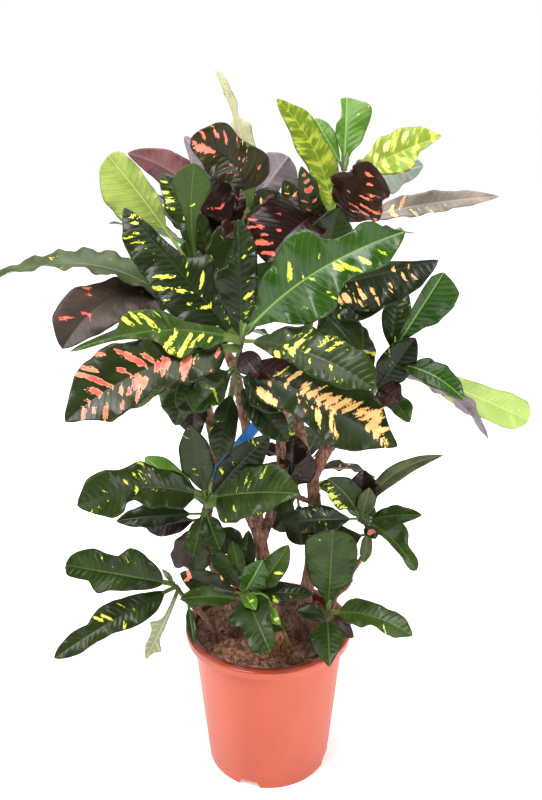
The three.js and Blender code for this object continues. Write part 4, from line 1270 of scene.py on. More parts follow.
@dataclass(frozen=True)
class Leaf:
    """A leaf: where it leaves its twig, how its blade lies, and how its faces look.

    A mark is a patch of colour: its place along the leaf and across it (left is positive), as shares, then
    its half-length along the veins and its half-width, in millimetres.
    """

    place: float
    tip: Point
    width: float
    form: Form
    faces: Point
    arch: float
    top: Top
    bow: float = 0
    twist: float = 0
    under: Under = Under.GREEN
    wave: float = 1.0
    rounding: float = 1.25
    marks: tuple[Mark, ...] = ()

    def grow(self, skin: Skin, root: np.ndarray, rng: np.random.Generator) -> None:
        """Adds the leaf to its shoot's skin.

        Args:
            skin: The shoot's skin.
            root: The point on the twig that the leaf grows from.
            rng: The leaf's own seeded source.
        """
        tip = np.array(self.tip, float)
        length = float(np.linalg.norm(tip - root))
        rows = int(np.clip(length / ROW_PITCH, FEWEST_ROWS, MOST_ROWS))
        place = np.linspace(0, 1, rows)[:, None]
        stalk = min(LONGEST_STALK_SHARE, STALK_LENGTH / length)
        blade = np.clip((place - stalk) / (1 - stalk), 0, 1)
        columns = int(np.clip(self.width / 2 / COLUMN_PITCH, FEWEST_COLUMNS, MOST_COLUMNS))
        out = (np.arange(columns, 0, -1) / columns) ** COLUMN_CROWDING
        reach = np.concatenate([out, [0.0], -out[::-1]])[None, :]
        side = (reach < 0).astype(int)
        halves = np.concatenate([self._half_width(blade, LEFT), self._half_width(blade, RIGHT)], axis=1)
        half = halves[:, side[0]]
        across = reach * half
        vein = blade * length - VEIN_SLOPE * abs(across) - VEIN_CURL * abs(across * reach)
        lift = self._lift(blade, reach, across, half, vein, length, rng)
        bulk = mix(STALK_HALF_HEIGHT, JOIN_HALF_HEIGHT, ease(0, stalk, place))
        bulk = mix(bulk, BLADE_HALF_HEIGHT, ease(0, BLADE_THIN_FROM, blade))
        roundness = mix(STALK_ROUNDNESS, BLADE_ROUNDNESS, ease(0, BLADE_FLAT_FROM, blade))
        thick = bulk * (1 - abs(reach) ** roundness)
        rib = np.exp(-(across / mix(*RIB_REACH, blade)) ** 2)
        rib = rib * ease(0, RIB_FULL_FROM, blade) * (1 - blade) ** RIB_FADE
        upper = lift + thick - rib * RIB_GROOVE
        lower = lift - thick - rib * RIB_RIDGE
        centre, face, beside = self._frame(place, root, tip)
        height = np.hstack([upper, lower[:, 1:-1][:, ::-1]])
        rings = (centre[:, None] + beside[:, None] * there_and_back(across)[..., None]
                 + face[:, None] * height[..., None])
        chance = rng.random()
        mark = self._mark(blade, halves, across, vein, length)
        grids = [vein + chance * PATTERN_SHIFT, across, np.broadcast_to(blade, across.shape),
                 mark, np.broadcast_to(abs(reach), across.shape), np.full(across.shape, chance)]
        looped = [there_and_back(grid) for grid in grids]
        skin.add(rings, self.top, self.under, across.shape[1] - 1,
                 blade=np.stack(looped[:3], axis=-1), traits=np.stack(looped[3:], axis=-1))

    def _half_width(self, blade: np.ndarray, side: int) -> np.ndarray:
        """Gives the half-width of stalk and blade on one side.

        Args:
            blade: The place along the blade, row by row.
            side: LEFT or RIGHT.

        Returns:
            The half-width in millimetres, row by row.
        """
        wide = self.form.half_widths(blade[:, 0], side, self.rounding)[:, None] * self.width / 2
        least = mix(STALK_HALF_WIDTH, TIP_HALF_WIDTH, ease(NARROW_FROM, 1, blade))
        return np.maximum(wide, least)

    def _lift(self, blade: np.ndarray, reach: np.ndarray, across: np.ndarray, half: np.ndarray,
              vein: np.ndarray, length: float, rng: np.random.Generator) -> np.ndarray:
        """Gives how far each point of the blade rises above its rib.

        Args:
            blade: The place along the blade, row by row.
            reach: The share of the way from rib to margin, column by column.
            across: The distance from the rib.
            half: The half-width of the point's side.
            vein: The vein coordinate.
            length: The leaf's length.
            rng: The leaf's seeded source.

        Returns:
            The rise in millimetres.
        """
        away = abs(reach)
        fold = BLADE_FOLD * half * (FOLD_RISE * away - FOLD_CURL * away ** 2)
        size = self.wave * (1.0 + self.width * WAVE_GROWTH)
        swing = np.zeros_like(across)
        for sign in (1, -1):
            pitch = rng.uniform(*WAVE_PITCHES)
            phase = rng.uniform(0, 2 * np.pi)
            strength = size * rng.uniform(*WAVE_STRENGTHS)
            swell = np.sin(blade * length / pitch * 2 * np.pi + phase)
            fine = FINE_WAVE_SHARE * np.sin(blade * length / pitch * FINE_WAVE_TURNS * np.pi + phase * 2)
            swing += np.where(reach * sign > 0, (swell + fine) * strength, 0)
        inside = np.sin(np.pi * np.clip(blade, 0, 1)) ** WAVE_FADE
        swing *= away ** 2 * inside * np.minimum(half / WAVE_HALF_WIDTH, 1)
        quilt = QUILT * np.cos(2 * np.pi * vein / VEIN_PITCH) * ease(*QUILT_SIDES, away) * (1 - away ** 4)
        return fold + swing - quilt * ease(*QUILT_START, blade) * np.minimum(half / QUILT_HALF_WIDTH, 1)

    def _frame(self, place: np.ndarray, root: np.ndarray,
               tip: np.ndarray) -> tuple[np.ndarray, np.ndarray, np.ndarray]:
        """Gives the arched rib with the direction that its face looks in and the one to its left.

        Args:
            place: The place along the leaf, row by row.
            root: The leaf's foot.
            tip: The leaf's tip.

        Returns:
            The rib's points, the face's directions and the left-hand directions.
        """
        ahead = unit(tip - root)
        up = np.array(self.faces, float)
        up = unit(up - ahead * (up @ ahead))
        left = np.cross(up, ahead)
        middle = (root + tip) / 2 + up * 2 * self.arch + left * 2 * self.bow
        centre = root * (1 - place) ** 2 + middle * 2 * place * (1 - place) + tip * place ** 2
        along = unit((middle - root) * (1 - place) + (tip - middle) * place)
        face = unit(up - along * (along @ up)[:, None])
        turn = np.radians(self.twist) * place
        face = face * np.cos(turn) + np.cross(along, face) * np.sin(turn)
        return centre, face, np.cross(face, along)

    def _mark(self, blade: np.ndarray, halves: np.ndarray, across: np.ndarray, vein: np.ndarray,
              length: float) -> np.ndarray:
        """Gives how far each point lies inside the nearest mark, and below zero outside all.

        Args:
            blade: The place along the blade, row by row.
            halves: The half-widths on the left and right.
            across: The distance from the rib.
            vein: The vein coordinate.
            length: The leaf's length.

        Returns:
            The distance in millimetres.
        """
        nearest = np.full(across.shape, NO_MARK)
        for along, aside, half_length, half_width in self.marks:
            row = int(np.argmin(abs(blade[:, 0] - along)))
            at = aside * halves[row, LEFT if aside > 0 else RIGHT]
            start = along * length - VEIN_SLOPE * abs(at) - VEIN_CURL * abs(at * aside)
            away = np.hypot((vein - start) / half_width, (across - at) / half_length)
            nearest = np.maximum(nearest, min(half_length, half_width) * (1 - away))
        return nearest


# The twigs and the buds at their ends, in millimetres, and the numbers that keep their seeded draws apart.
TWIG_SIDES = 20
TWIG_RING_PITCH = 1.6
TWIG_FOOT_RADIUS = 4.6
TWIG_TOP_RADIUS = 3.2
TWIG_SCAR_HEIGHT = 0.9
TWIG_SCAR_REACH = 2.2
BUD_LEAVES = 3
BUD_TURN = 2.4
BUD_LENGTHS = (20, 30)
BUD_SPREADS = (4, 9)
BUD_WIDTHS = (8, 11)
TWIG_DRAWS = 900
BUD_DRAWS = 901
TWIG_BUMPS = 0.06
TWIG_CLOSING = 3
TWIG_END_LEAST = 0.02
BUD_PLACE = 0.97
BUD_AIM_FROM = 0.9
BUD_RISE = 0.3
PATCH_DRAWS = 7


@dataclass
class LeafyShoot:
    """A green twig through three points, with the leaves that grow from it."""

    name: str
    twig: tuple[Point, Point, Point]
    leaves: tuple[Leaf, ...]
    seed: int

    def build(self) -> bpy.types.Object:
        """Builds the shoot.

        Returns:
            Its one piece.
        """
        skin = Skin(f"{self.name}_leaves")
        route = Route(self.twig)
        self._add_twig(skin, route)
        for index, leaf in enumerate(self.leaves):
            leaf.grow(skin, route.point(leaf.place), np.random.default_rng([self.seed, index]))
        self._add_bud(skin, route)
        return settle(skin.piece(), "leaf", self.name)

    def _add_twig(self, skin: Skin, route: Route) -> None:
        """Adds the twig, ringed where each leaf grows from it.

        Args:
            skin: The shoot's skin.
            route: The twig's curve.
        """
        rng = np.random.default_rng([self.seed, TWIG_DRAWS])
        rows = int(route.length / TWIG_RING_PITCH)
        place = np.linspace(0, 1, rows)
        radii = mix(TWIG_FOOT_RADIUS, TWIG_TOP_RADIUS, place)[:, None]
        radii = radii * (1 + TWIG_BUMPS * ripple(rng, rows, TWIG_SIDES, (max(3, rows // 5), 6)))
        for leaf in self.leaves:
            away = (place - leaf.place) * route.length / TWIG_SCAR_REACH
            radii = radii + TWIG_SCAR_HEIGHT * np.exp(-away ** 2)[:, None]
        closing = np.sqrt(np.clip((1 - place) * route.length / TWIG_CLOSING, TWIG_END_LEAST, 1))[:, None]
        skin.add(route.rings(radii * closing, TWIG_SIDES), Finish.TWIG)

    def _add_bud(self, skin: Skin, route: Route) -> None:
        """Adds the young leaves that stand folded at the twig's end.

        Args:
            skin: The shoot's skin.
            route: The twig's curve.
        """
        rng = np.random.default_rng([self.seed, BUD_DRAWS])
        end = route.point(BUD_PLACE)
        ahead = unit(route.point(1.0) - route.point(BUD_AIM_FROM))
        for number in range(BUD_LEAVES):
            lean = level(number * BUD_TURN) + UPWARD * BUD_RISE
            tip = end + ahead * rng.uniform(*BUD_LENGTHS) + lean * rng.uniform(*BUD_SPREADS)
            width = rng.uniform(*BUD_WIDTHS)
            Leaf(1, tuple(tip), width, Form.LANCE, tuple(-lean), 2, Top.FRESH).grow(skin, end, rng)


class Draws:
    """Seeded random numbers between 0 and 1, from a small whole-number recurrence."""

    MULTIPLIER = 16807
    MODULUS = 2147483647

    def __init__(self, seed: int) -> None:
        """Starts the recurrence at a seed."""
        self.state = seed

    def __call__(self) -> float:
        """Gives the next number."""
        self.state = self.state * self.MULTIPLIER % self.MODULUS
        return self.state / self.MODULUS


@dataclass
class FullShoot:
    """A shoot at the back of the plant, whose leaves are placed by a rule."""

    name: str
    twig: tuple[Point, Point, Point]
    count: int
    heading: float
    spread: float
    reach: Span
    rise: Span
    seed: int

    FORMS = (Form.OVAL, Form.SMALL, Form.LANCE, Form.SMALL)
    TOPS = (Top.DEEP, Top.MID, Top.HONEY, Top.WINE, Top.MID, Top.EMBER, Top.BRIGHT, Top.CLARET)
    UNDERS = (Under.GREEN, Under.GREY, Under.MAROON, Under.MAUVE)
    TURN = 0.618
    WANDER = 8.0
    LOWEST = 0.15
    WIDTHS = (46, 72)
    ARCH = 16
    WAVE = 1.2
    PATCH_COUNTS = (2, 12)
    PATCH_SPANS = ((0.15, 0.9), (-0.9, 0.9), (3, 12), (2, 5))

    def build(self) -> bpy.types.Object:
        """Builds the shoot as one piece."""
        return LeafyShoot(self.name, self.twig, self._leaves(), self.seed).build()

    def _leaves(self) -> tuple[Leaf, ...]:
        """Places the leaves evenly turned round the twig.

        Returns:
            The leaves, each with small seeded changes.
        """
        draw = Draws(self.seed)
        route = Route(self.twig)
        leaves = []
        for index in range(self.count):
            share = (index + 0.5) / self.count
            place = mix(self.LOWEST, 1, share)
            turned = mix(-self.spread, self.spread, index * self.TURN % 1)
            bearing = math.radians(self.heading + turned + mix(-self.WANDER, self.WANDER, draw()))
            lift = math.radians(mix(*self.rise, share) + mix(-self.WANDER, self.WANDER, draw()))
            outward = level(bearing)
            heads = outward * math.cos(lift) + UPWARD * math.sin(lift)
            tip = route.point(place) + heads * mix(*self.reach, draw())
            width = mix(*self.WIDTHS, draw())
            form = self.FORMS[int(draw() * len(self.FORMS))]
            leaves.append(Leaf(place, tuple(tip), width, form, tuple(outward + UPWARD * 2), self.ARCH,
                               self.TOPS[index % len(self.TOPS)], under=self.UNDERS[index % len(self.UNDERS)],
                               wave=self.WAVE, marks=self._patches(index)))
        return tuple(leaves)

    def _patches(self, index: int) -> tuple[Mark, ...]:
        """Gives a leaf's seeded patches of colour.

        Args:
            index: The leaf's number on its shoot.

        Returns:
            Its marks.
        """
        rng = np.random.default_rng([self.seed, index, PATCH_DRAWS])
        count = int(rng.integers(*self.PATCH_COUNTS))
        return tuple(tuple(rng.uniform(*span) for span in self.PATCH_SPANS) for _ in range(count))


FRONT = (0, -3, 1)


def oval(place: float, tip: Point, width: float, arch: float, top: Top) -> Leaf:
    """Gives an unmarked oval leaf that faces the front, mostly one that closes a gap in the foliage."""
    return Leaf(place, tip, width, Form.OVAL, FRONT, arch, top)


def small(place: float, tip: Point, width: float, arch: float, top: Top) -> Leaf:
    """Gives an unmarked small leaf that faces the front."""
    return Leaf(place, tip, width, Form.SMALL, FRONT, arch, top)


CROWN_FRONT = (
    Leaf(1, (168, -150, 877), 134, Form.FLAG, FRONT, 14, Top.BRIGHT, bow=16, wave=1.2, marks=(
        (0.37, 0.4, 9, 4.5), (0.41, 0.08, 3, 1.5), (0.45, -0.12, 5, 2), (0.5, -0.6, 3, 1.5),
        (0.52, -0.85, 4, 2.5), (0.61, -0.3, 8, 5), (0.66, -0.5, 11, 4), (0.7, -0.75, 5, 3),
        (0.75, -0.5, 6, 4), (0.77, -0.62, 5, 3), (0.86, -0.5, 5, 2), (0.31, 0.75, 2, 1),
        (0.55, 0.3, 2, 1))),
    Leaf(0.97, (-38, -92, 888), 70, Form.SAIL, FRONT, 6, Top.DEEP, rounding=1.5, marks=(
        (0.28, -0.55, 6, 4), (0.24, -0.35, 3, 2), (0.4, -0.3, 2, 1), (0.5, 0.3, 2, 1))),
    Leaf(0.95, (-252, -150, 727), 78, Form.SKEW, FRONT, 6, Top.MID, bow=-19, marks=(
        (0.38, 0.55, 10, 5), (0.3, 0.8, 12, 5), (0.235, 0.25, 6, 4), (0.22, 0.6, 6, 4), (0.16, 0.3, 6, 4),
        (0.1, 0.4, 6, 3), (0.62, -0.6, 8, 4), (0.58, -0.75, 9, 3), (0.5, -0.5, 13, 3),
        (0.45, -0.2, 6, 2.5), (0.34, 0.3, 6, 3), (0.27, 0.5, 8, 4), (0.33, 0.1, 5, 3), (0.36, 0.85, 7, 4),
        (0.54, -0.75, 4, 2))),
    Leaf(0.9, (-194, -38, 900), 96, Form.SHOULDER, FRONT, 10, Top.DEEP, marks=(
        (0.92, 0, 4, 2.5), (0.88, 0.1, 5, 3), (0.82, 0.3, 4, 2), (0.75, 0.35, 5, 2),
        (0.61, 0.28, 2.5, 1.5), (0.5, 0.46, 11, 4), (0.47, 0.8, 7, 4), (0.37, 0.32, 6, 4),
        (0.42, 0.5, 3, 2), (0.45, 0.62, 2.5, 1.5), (0.38, 0.8, 3, 1.5), (0.34, -0.42, 10, 3.5),
        (0.28, 0.38, 4, 2.5), (0.2, 0.08, 8, 3.5), (0.27, 0, 3, 1.5), (0.33, 0.15, 3, 2))),
    Leaf(0.86, (-254, -190, 646), 96, Form.BROAD, (-1, -4, 2), 14, Top.EMBER, bow=-18, marks=(
        (0.52, -0.45, 19, 6), (0.44, -0.3, 9, 4), (0.66, -0.93, 7, 4), (0.74, -0.78, 11, 4),
        (0.75, -0.48, 24, 4.5), (0.78, -0.14, 9, 5), (0.84, -0.02, 5, 2), (0.6, -0.25, 6, 4),
        (0.56, 0.3, 11, 7), (0.53, 0.5, 9, 6), (0.6, 0.75, 8, 4), (0.66, 0.28, 7, 3.5), (0.63, 0.48, 6, 4),
        (0.71, 0.75, 6, 3.5), (0.78, 0.5, 5, 2.5), (0.9, 0.4, 8, 4.5), (0.85, 0.5, 6, 3),
        (0.81, 0.65, 8, 4.5), (0.41, 0.1, 8, 6), (0.36, 0.12, 10, 7), (0.4, 0.4, 6, 5),
        (0.26, 0.36, 15, 9), (0.3, 0.75, 8, 4), (0.22, 0.1, 5, 4), (0.05, 0.3, 7, 4), (0.13, 0.9, 3, 2),
        (0.7, -0.1, 3, 1.5), (0.57, 0.05, 4, 2))),
    Leaf(0.93, (129, -205, 694), 66, Form.BLUNT, (0, -3, 2), 14, Top.DEEP, bow=9, rounding=1.5, marks=(
        (0.37, 0.22, 9, 5), (0.35, -0.2, 8, 5.5), (0.28, 0, 4, 3.5), (0.26, -0.8, 7, 6),
        (0.27, 0.5, 2.5, 2), (0.46, 0.1, 4, 2), (0.52, -0.35, 4, 2), (0.68, -0.22, 4.5, 2),
        (0.54, 0.88, 6, 2.5), (0.55, 0.62, 7, 2.5), (0.6, 0.92, 5, 2), (0.65, 0.82, 5, 3),
        (0.61, 0.48, 6, 3), (0.4, 0.6, 2, 1.5), (0.71, 0.7, 2, 1.5), (0.31, -0.5, 3, 2))),
    Leaf(0.62, (163, -198, 616), 92, Form.PADDLE, (0, -3, 2), 8, Top.HONEY, bow=4, marks=(
        (0.38, 0.08, 7, 5), (0.43, 0.1, 9, 5.5), (0.49, 0.1, 12, 5.5), (0.55, 0.15, 12, 6),
        (0.61, 0.2, 13, 5.5), (0.67, 0.28, 12, 5), (0.73, 0.33, 9, 4.5), (0.37, 0.27, 7, 4),
        (0.46, 0.36, 7, 2.5), (0.59, -0.06, 5, 5), (0.79, 0.5, 14, 6), (0.83, 0.5, 8, 5),
        (0.82, 0.15, 9, 6), (0.86, 0.08, 11, 5), (0.88, 0.3, 9, 5), (0.91, -0.25, 6, 2.5),
        (0.93, -0.2, 6, 2), (0.54, -0.5, 11, 5.5), (0.62, -0.42, 13, 3.5), (0.67, -0.6, 10, 2.5),
        (0.69, -0.62, 4, 2.5), (0.16, -0.75, 8, 8), (0.22, -0.75, 8, 9), (0.27, -0.8, 6, 6),
        (0.17, -0.22, 5, 3.5), (0.26, 0.05, 6, 3), (0.29, 0.45, 11, 4.5), (0.39, -0.38, 2.5, 2),
        (0.43, -0.3, 2.5, 2), (0.48, -0.36, 3, 2.5), (0.36, -0.15, 3, 1.5), (0.46, -0.62, 4, 2))),
    Leaf(0.55, (-99, -130, 642), 56, Form.TREFOIL, FRONT, 6, Top.MID, marks=((0.5, 0.3, 14, 2.5),)),
    small(0.8, (-12, -130, 690), 36, 6, Top.WINE),
    small(0.4, (28, -100, 588), 44, 8, Top.DEEP),
    small(0.35, (-70, -96, 560), 40, 8, Top.DEEP),
    oval(0.6, (-124, -110, 640), 60, 8, Top.DEEP),
    oval(0.5, (34, -96, 640), 60, 8, Top.DEEP),
    oval(0.7, (70, -120, 660), 56, 8, Top.WINE),
)

CROWN_LEFT = (
    Leaf(0.96, (-73, 55, 1083), 40, Form.PINCHED, FRONT, 6, Top.KHAKI,
         bow=-14, twist=50, under=Under.LIME, rounding=2.0),
    Leaf(1, (-106, 0, 985), 116, Form.FIDDLE, (0, -4, 1), 8, Top.BRONZE, bow=-22, rounding=1.4, marks=(
        (0.87, 0.2, 6, 9), (0.79, 0.15, 5, 6), (0.72, 0.1, 3, 4), (0.95, 0, 4, 3), (0.88, -0.55, 5, 3),
        (0.77, -0.62, 6, 3), (0.65, -0.53, 6, 2.5), (0.55, -0.9, 3, 1.2), (0.33, -0.42, 2, 1.2),
        (0.4, -0.28, 1.5, 1), (0.2, -0.6, 3, 2.5), (0.42, 0.1, 3, 1.5), (0.33, 0.05, 2, 1.2),
        (0.6, 0.8, 1.5, 1), (0.47, 0.45, 3, 0.8), (0.36, 0.4, 4, 1), (0.27, 0.3, 2, 1),
        (0.68, 0.25, 1.5, 0.8), (0.1, -0.4, 2, 0.8))),
    Leaf(0.7, (-212, 110, 973), 58, Form.OVAL, (0, 3, 1), 14, Top.WINE, bow=27, under=Under.MAROON),
    Leaf(0.42, (-216, -16, 968), 80, Form.SHELL, (-1, -3, 1), 12, Top.LIME,
         bow=-8, under=Under.LIME, rounding=2.0),
    Leaf(0.6, (-153, 52, 945), 52, Form.WAVED, FRONT, 8, Top.DEEP, marks=(
        (0.8, 0.7, 5, 4), (0.7, 0.6, 6, 4), (0.62, 0.7, 5, 3), (0.45, 0.2, 6, 5), (0.9, 0.4, 4, 2.5))),
    Leaf(0.38, (-96, -52, 958), 52, Form.SPADE, (0, -3, 0), 4, Top.MID, bow=13, marks=(
        (0.7, -0.1, 2.5, 1.5),)),
    Leaf(0.8, (-100, 48, 950), 58, Form.OVAL, (0, -2, 1), 8, Top.WINE, marks=(
        (0.3, 0, 8, 3), (0.36, 0.5, 6, 2))),
    Leaf(0.5, (-73, 44, 903), 60, Form.OVAL, FRONT, 4, Top.CLARET, marks=((0.85, -0.2, 8, 2.5),)),
    Leaf(0.9, (-121, 64, 996), 40, Form.SMALL, (0, 3, 1), 6, Top.WINE, under=Under.MAUVE),
    Leaf(0.98, (30, 62, 968), 60, Form.GUITAR, (0, 3, 0), 6, Top.PLUM, under=Under.MAUVE),
    Leaf(0.22, (-396, -62, 798), 74, Form.LANCE, (0, -2, 3), 56, Top.SLATE,
         bow=-28, twist=30, under=Under.GREY),
    Leaf(0.3, (-272, -112, 722), 98, Form.MANTLE, (-1, -3, 2), 30, Top.PLUM, bow=-46, marks=(
        (0.76, 0, 8, 2.5), (0.86, -0.5, 8, 2.5), (0.68, -0.6, 5, 2), (0.66, -0.88, 4, 4),
        (0.34, 0, 4, 2.5))),
    Leaf(0.15, (-160, 20, 596), 58, Form.OVAL, (-2, -2, 1), 14, Top.DEEP),
    Leaf(0.12, (-190, -66, 625), 60, Form.OVAL, (-1, -2, 2), 16, Top.MID),
    oval(0.45, (-36, 20, 880), 66, 4, Top.DEEP),
    Leaf(0.95, (18, -16, 918), 36, Form.OVAL, FRONT, 4, Top.HONEY, marks=(
        (0.45, 0.2, 4, 4), (0.7, -0.3, 4, 3))),
    oval(0.85, (-60, -20, 860), 40, 4, Top.WINE),
    oval(0.7, (8, 44, 915), 60, 4, Top.WINE),
    oval(0.3, (-120, 30, 850), 60, 6, Top.MID),
    oval(0.2, (-52, 20, 800), 60, 4, Top.DEEP),
    oval(0.05, (10, 0, 822), 76, 6, Top.DEEP),
    Leaf(0.75, (-38, 72, 942), 56, Form.OVAL, FRONT, 4, Top.WINE, marks=(
        (0.6, 0.2, 8, 3), (0.5, -0.4, 6, 2))),
    Leaf(0.05, (-112, -10, 560), 52, Form.WAVED, (-1, -3, 1), 10, Top.WINE),
    Leaf(0.1, (-136, -36, 590), 60, Form.WAVED, (-1, -3, 1), 10, Top.DEEP),
)

CROWN_RIGHT = (
    Leaf(0.62, (132, -90, 957), 104, Form.TREFOIL, FRONT, 4, Top.CLARET, rounding=2.0, marks=(
        (0.36, -0.2, 8, 2), (0.5, -0.45, 10, 3), (0.56, -0.75, 8, 3), (0.42, -0.6, 7, 3),
        (0.5, -0.95, 6, 3), (0.6, -0.35, 9, 3), (0.86, -0.1, 7, 3.5), (0.78, -0.3, 5, 3), (0.5, 0.2, 4, 2),
        (0.3, -0.4, 6, 2), (0.7, -0.6, 6, 2))),
    Leaf(0.5, (12, 50, 1045), 48, Form.WAVED, (0, -3, 0), 4, Top.GOLD, bow=-24),
    Leaf(1, (112, 70, 1048), 112, Form.OAK, FRONT, 6, Top.FRESH, rounding=2.0),
    Leaf(0.94, (228, -40, 992), 62, Form.BLOTCHED, (0, -2, 1), 8, Top.DAPPLE,
         bow=-2, under=Under.PINK, marks=(
        (0.3, 0.3, 6, 5), (0.45, 0.5, 7, 6), (0.66, 0.6, 8, 5), (0.4, -0.4, 6, 5))),
    Leaf(0.86, (230, 84, 955), 68, Form.WAVED, (0, 3, 1), 6, Top.MID, under=Under.GREY),
    Leaf(0.62, (318, -12, 914), 36, Form.LANCE, (0, -2, 2), 10, Top.BLUSH,
         twist=20, under=Under.PINK, marks=(
        (0.28, 0, 9, 3), (0.36, 0.4, 8, 3), (0.3, -0.7, 8, 3), (0.45, -0.85, 8, 2.5), (0.55, -0.9, 8, 2))),
    Leaf(0.36, (45, -20, 954), 36, Form.WAVED, (0, -3, 0), 2, Top.EMBER, marks=(
        (0.72, -0.1, 7, 5), (0.82, -0.15, 4, 3), (0.9, -0.1, 3, 2), (0.58, -0.3, 4, 3), (0.62, 0.5, 4, 2),
        (0.5, 0.3, 4, 2), (0.4, -0.3, 3, 2))),
    Leaf(0.3, (22, 22, 936), 42, Form.OVAL, FRONT, 2, Top.HONEY, marks=(
        (0.72, 0.5, 6, 4), (0.7, 0.9, 5, 3), (0.85, 0.4, 4, 2), (0.9, 0, 3, 2), (0.6, 0.3, 4, 2),
        (0.65, 0.75, 4, 2), (0.78, -0.3, 4, 2), (0.55, 0.7, 4, 2))),
    Leaf(0.75, (-2, -66, 829), 112, Form.HOOD, (0, -3, 2), 10, Top.WINE, bow=-10, marks=(
        (0.86, -0.44, 11, 5), (0.9, -0.13, 9, 3.5), (0.745, -0.62, 6, 2.5), (0.8, -0.8, 10, 3),
        (0.75, -0.9, 7, 2.5), (0.79, -0.46, 4, 3), (0.65, -0.25, 3.5, 3), (0.5, -0.45, 5, 1.5))),
    Leaf(0.14, (219, -110, 838), 80, Form.PENNANT, FRONT, 8, Top.HONEY, marks=(
        (0.22, -0.65, 9, 7), (0.15, -0.85, 9, 5), (0.38, -0.5, 10, 4), (0.37, -0.75, 5, 3),
        (0.47, -0.45, 6, 4), (0.52, -0.75, 8, 3.5), (0.65, 0.1, 4, 2.5), (0.63, -0.42, 5, 2.5),
        (0.74, -0.3, 7, 2.5), (0.82, -0.47, 5, 2.5), (0.32, -0.18, 3, 1.5), (0.77, 0.08, 4, 1.5),
        (0.3, -1, 4, 3))),
    Leaf(1, (67, 66, 1020), 32, Form.LOBE, FRONT, 4, Top.FRESH),
    oval(0.2, (96, -30, 900), 66, 6, Top.DEEP),
    oval(0.1, (60, -20, 850), 60, 6, Top.WINE),
    Leaf(0.1, (160, -60, 770), 66, Form.OVAL, FRONT, 8, Top.DEEP, marks=(
        (0.5, 0.5, 6, 3), (0.6, -0.2, 6, 2), (0.7, 0.3, 5, 3))),
    oval(0.05, (130, -50, 700), 60, 8, Top.DEEP),
)

CROWN_EDGE = (
    Leaf(1, (242, -42, 814), 72, Form.FAN, FRONT, 6, Top.BRIGHT),
    Leaf(0.3, (190, -45, 628), 46, Form.SMALL, FRONT, 4, Top.WINE, under=Under.MAROON),
    Leaf(0.75, (275, -72, 640), 48, Form.OVAL, (0, -2, 3), 22, Top.BRIGHT),
    Leaf(0.6, (309, -86, 586), 46, Form.OVAL, (0, 2, 2), 28, Top.PLUM, under=Under.MAUVE),
    Leaf(0.85, (412, 56, 568), 58, Form.STRAP, FRONT, 20, Top.PALE, rounding=1.8),
    Leaf(0.35, (206, -40, 596), 38, Form.SMALL, (1, -2, 1), 6, Top.MID),
    Leaf(0.9, (196, 30, 790), 44, Form.LANCE, (0, -2, 1), 6, Top.DEEP),
    oval(0.1, (210, -30, 720), 50, 6, Top.DEEP),
)

LEFT_MIDDLE = (
    Leaf(0.9, (-112, -62, 600), 50, Form.OVAL, (0, -3, 0), 4, Top.DEEP),
    Leaf(1, (-266, -120, 500), 78, Form.MIRROR_SCALLOP, (0, -3, 2), 10, Top.DEEP, bow=-18, marks=(
        (0.53, -0.55, 4, 2), (0.6, -0.36, 4, 2), (0.52, 0.1, 5, 3), (0.48, -0.6, 3, 1.5),
        (0.85, 0.6, 2, 1))),
    small(0.8, (-191, 12, 523), 44, 6, Top.FRESH),
    Leaf(0.85, (2, -56, 582), 52, Form.OVAL, (1, -3, 1), 8, Top.DEEP, bow=6, marks=((0.35, 0.6, 5, 4),)),
    Leaf(0.97, (45, -112, 515), 80, Form.CUP, (0, -3, 2), 8, Top.MID, bow=4, marks=(
        (0.15, 0.8, 6, 4), (0.2, 0.95, 4, 3), (0.4, 0.42, 9, 2), (0.44, 0.3, 5, 2), (0.6, 0.62, 7, 3),
        (0.63, 0.82, 4, 2.5), (0.28, 0.15, 3, 1.5), (0.28, -0.5, 5, 2.5), (0.2, -0.88, 3, 2))),
    Leaf(0.55, (-230, -42, 440), 42, Form.LANCE, (0, -2, 2), 8, Top.DEEP),
    small(0.4, (-192, -4, 411), 36, 6, Top.WINE),
    small(0.65, (-112, -70, 396), 34, 6, Top.MID),
    small(0.7, (-72, -66, 404), 36, 4, Top.MID),
    Leaf(0.3, (-146, -24, 352), 40, Form.WAVED, (-1, -3, 1), 4, Top.PLUM),
    oval(0.2, (-44, 4, 376), 44, 6, Top.DEEP),
    Leaf(0.1, (-116, -16, 338), 48, Form.WAVED, FRONT, 6, Top.DEEP),
)

LEFT_LOW = (
    Leaf(1, (-298, -90, 392), 82, Form.MITTEN, (0, -3, 2), 8, Top.MID, rounding=1.8, marks=(
        (0.44, -0.6, 2, 1), (0.68, -0.7, 2, 1.5), (0.56, -0.4, 1.5, 1))),
    Leaf(0.9, (-317, -122, 256), 68, Form.LADLE, (0, -3, 2), 10, Top.DEEP, bow=-4, marks=(
        (0.5, -0.3, 9, 3), (0.56, -0.5, 6, 3.5), (0.42, 0.85, 7, 3), (0.28, 0.1, 3, 1.5),
        (0.36, -0.6, 3, 1))),
    Leaf(0.8, (-180, -130, 260), 32, Form.TONGUE, (1, -2, 2), 16, Top.KHAKI),
    Leaf(0.3, (-112, -92, 258), 16, Form.SMALL, (0, -2, 2), 6, Top.MID),
)

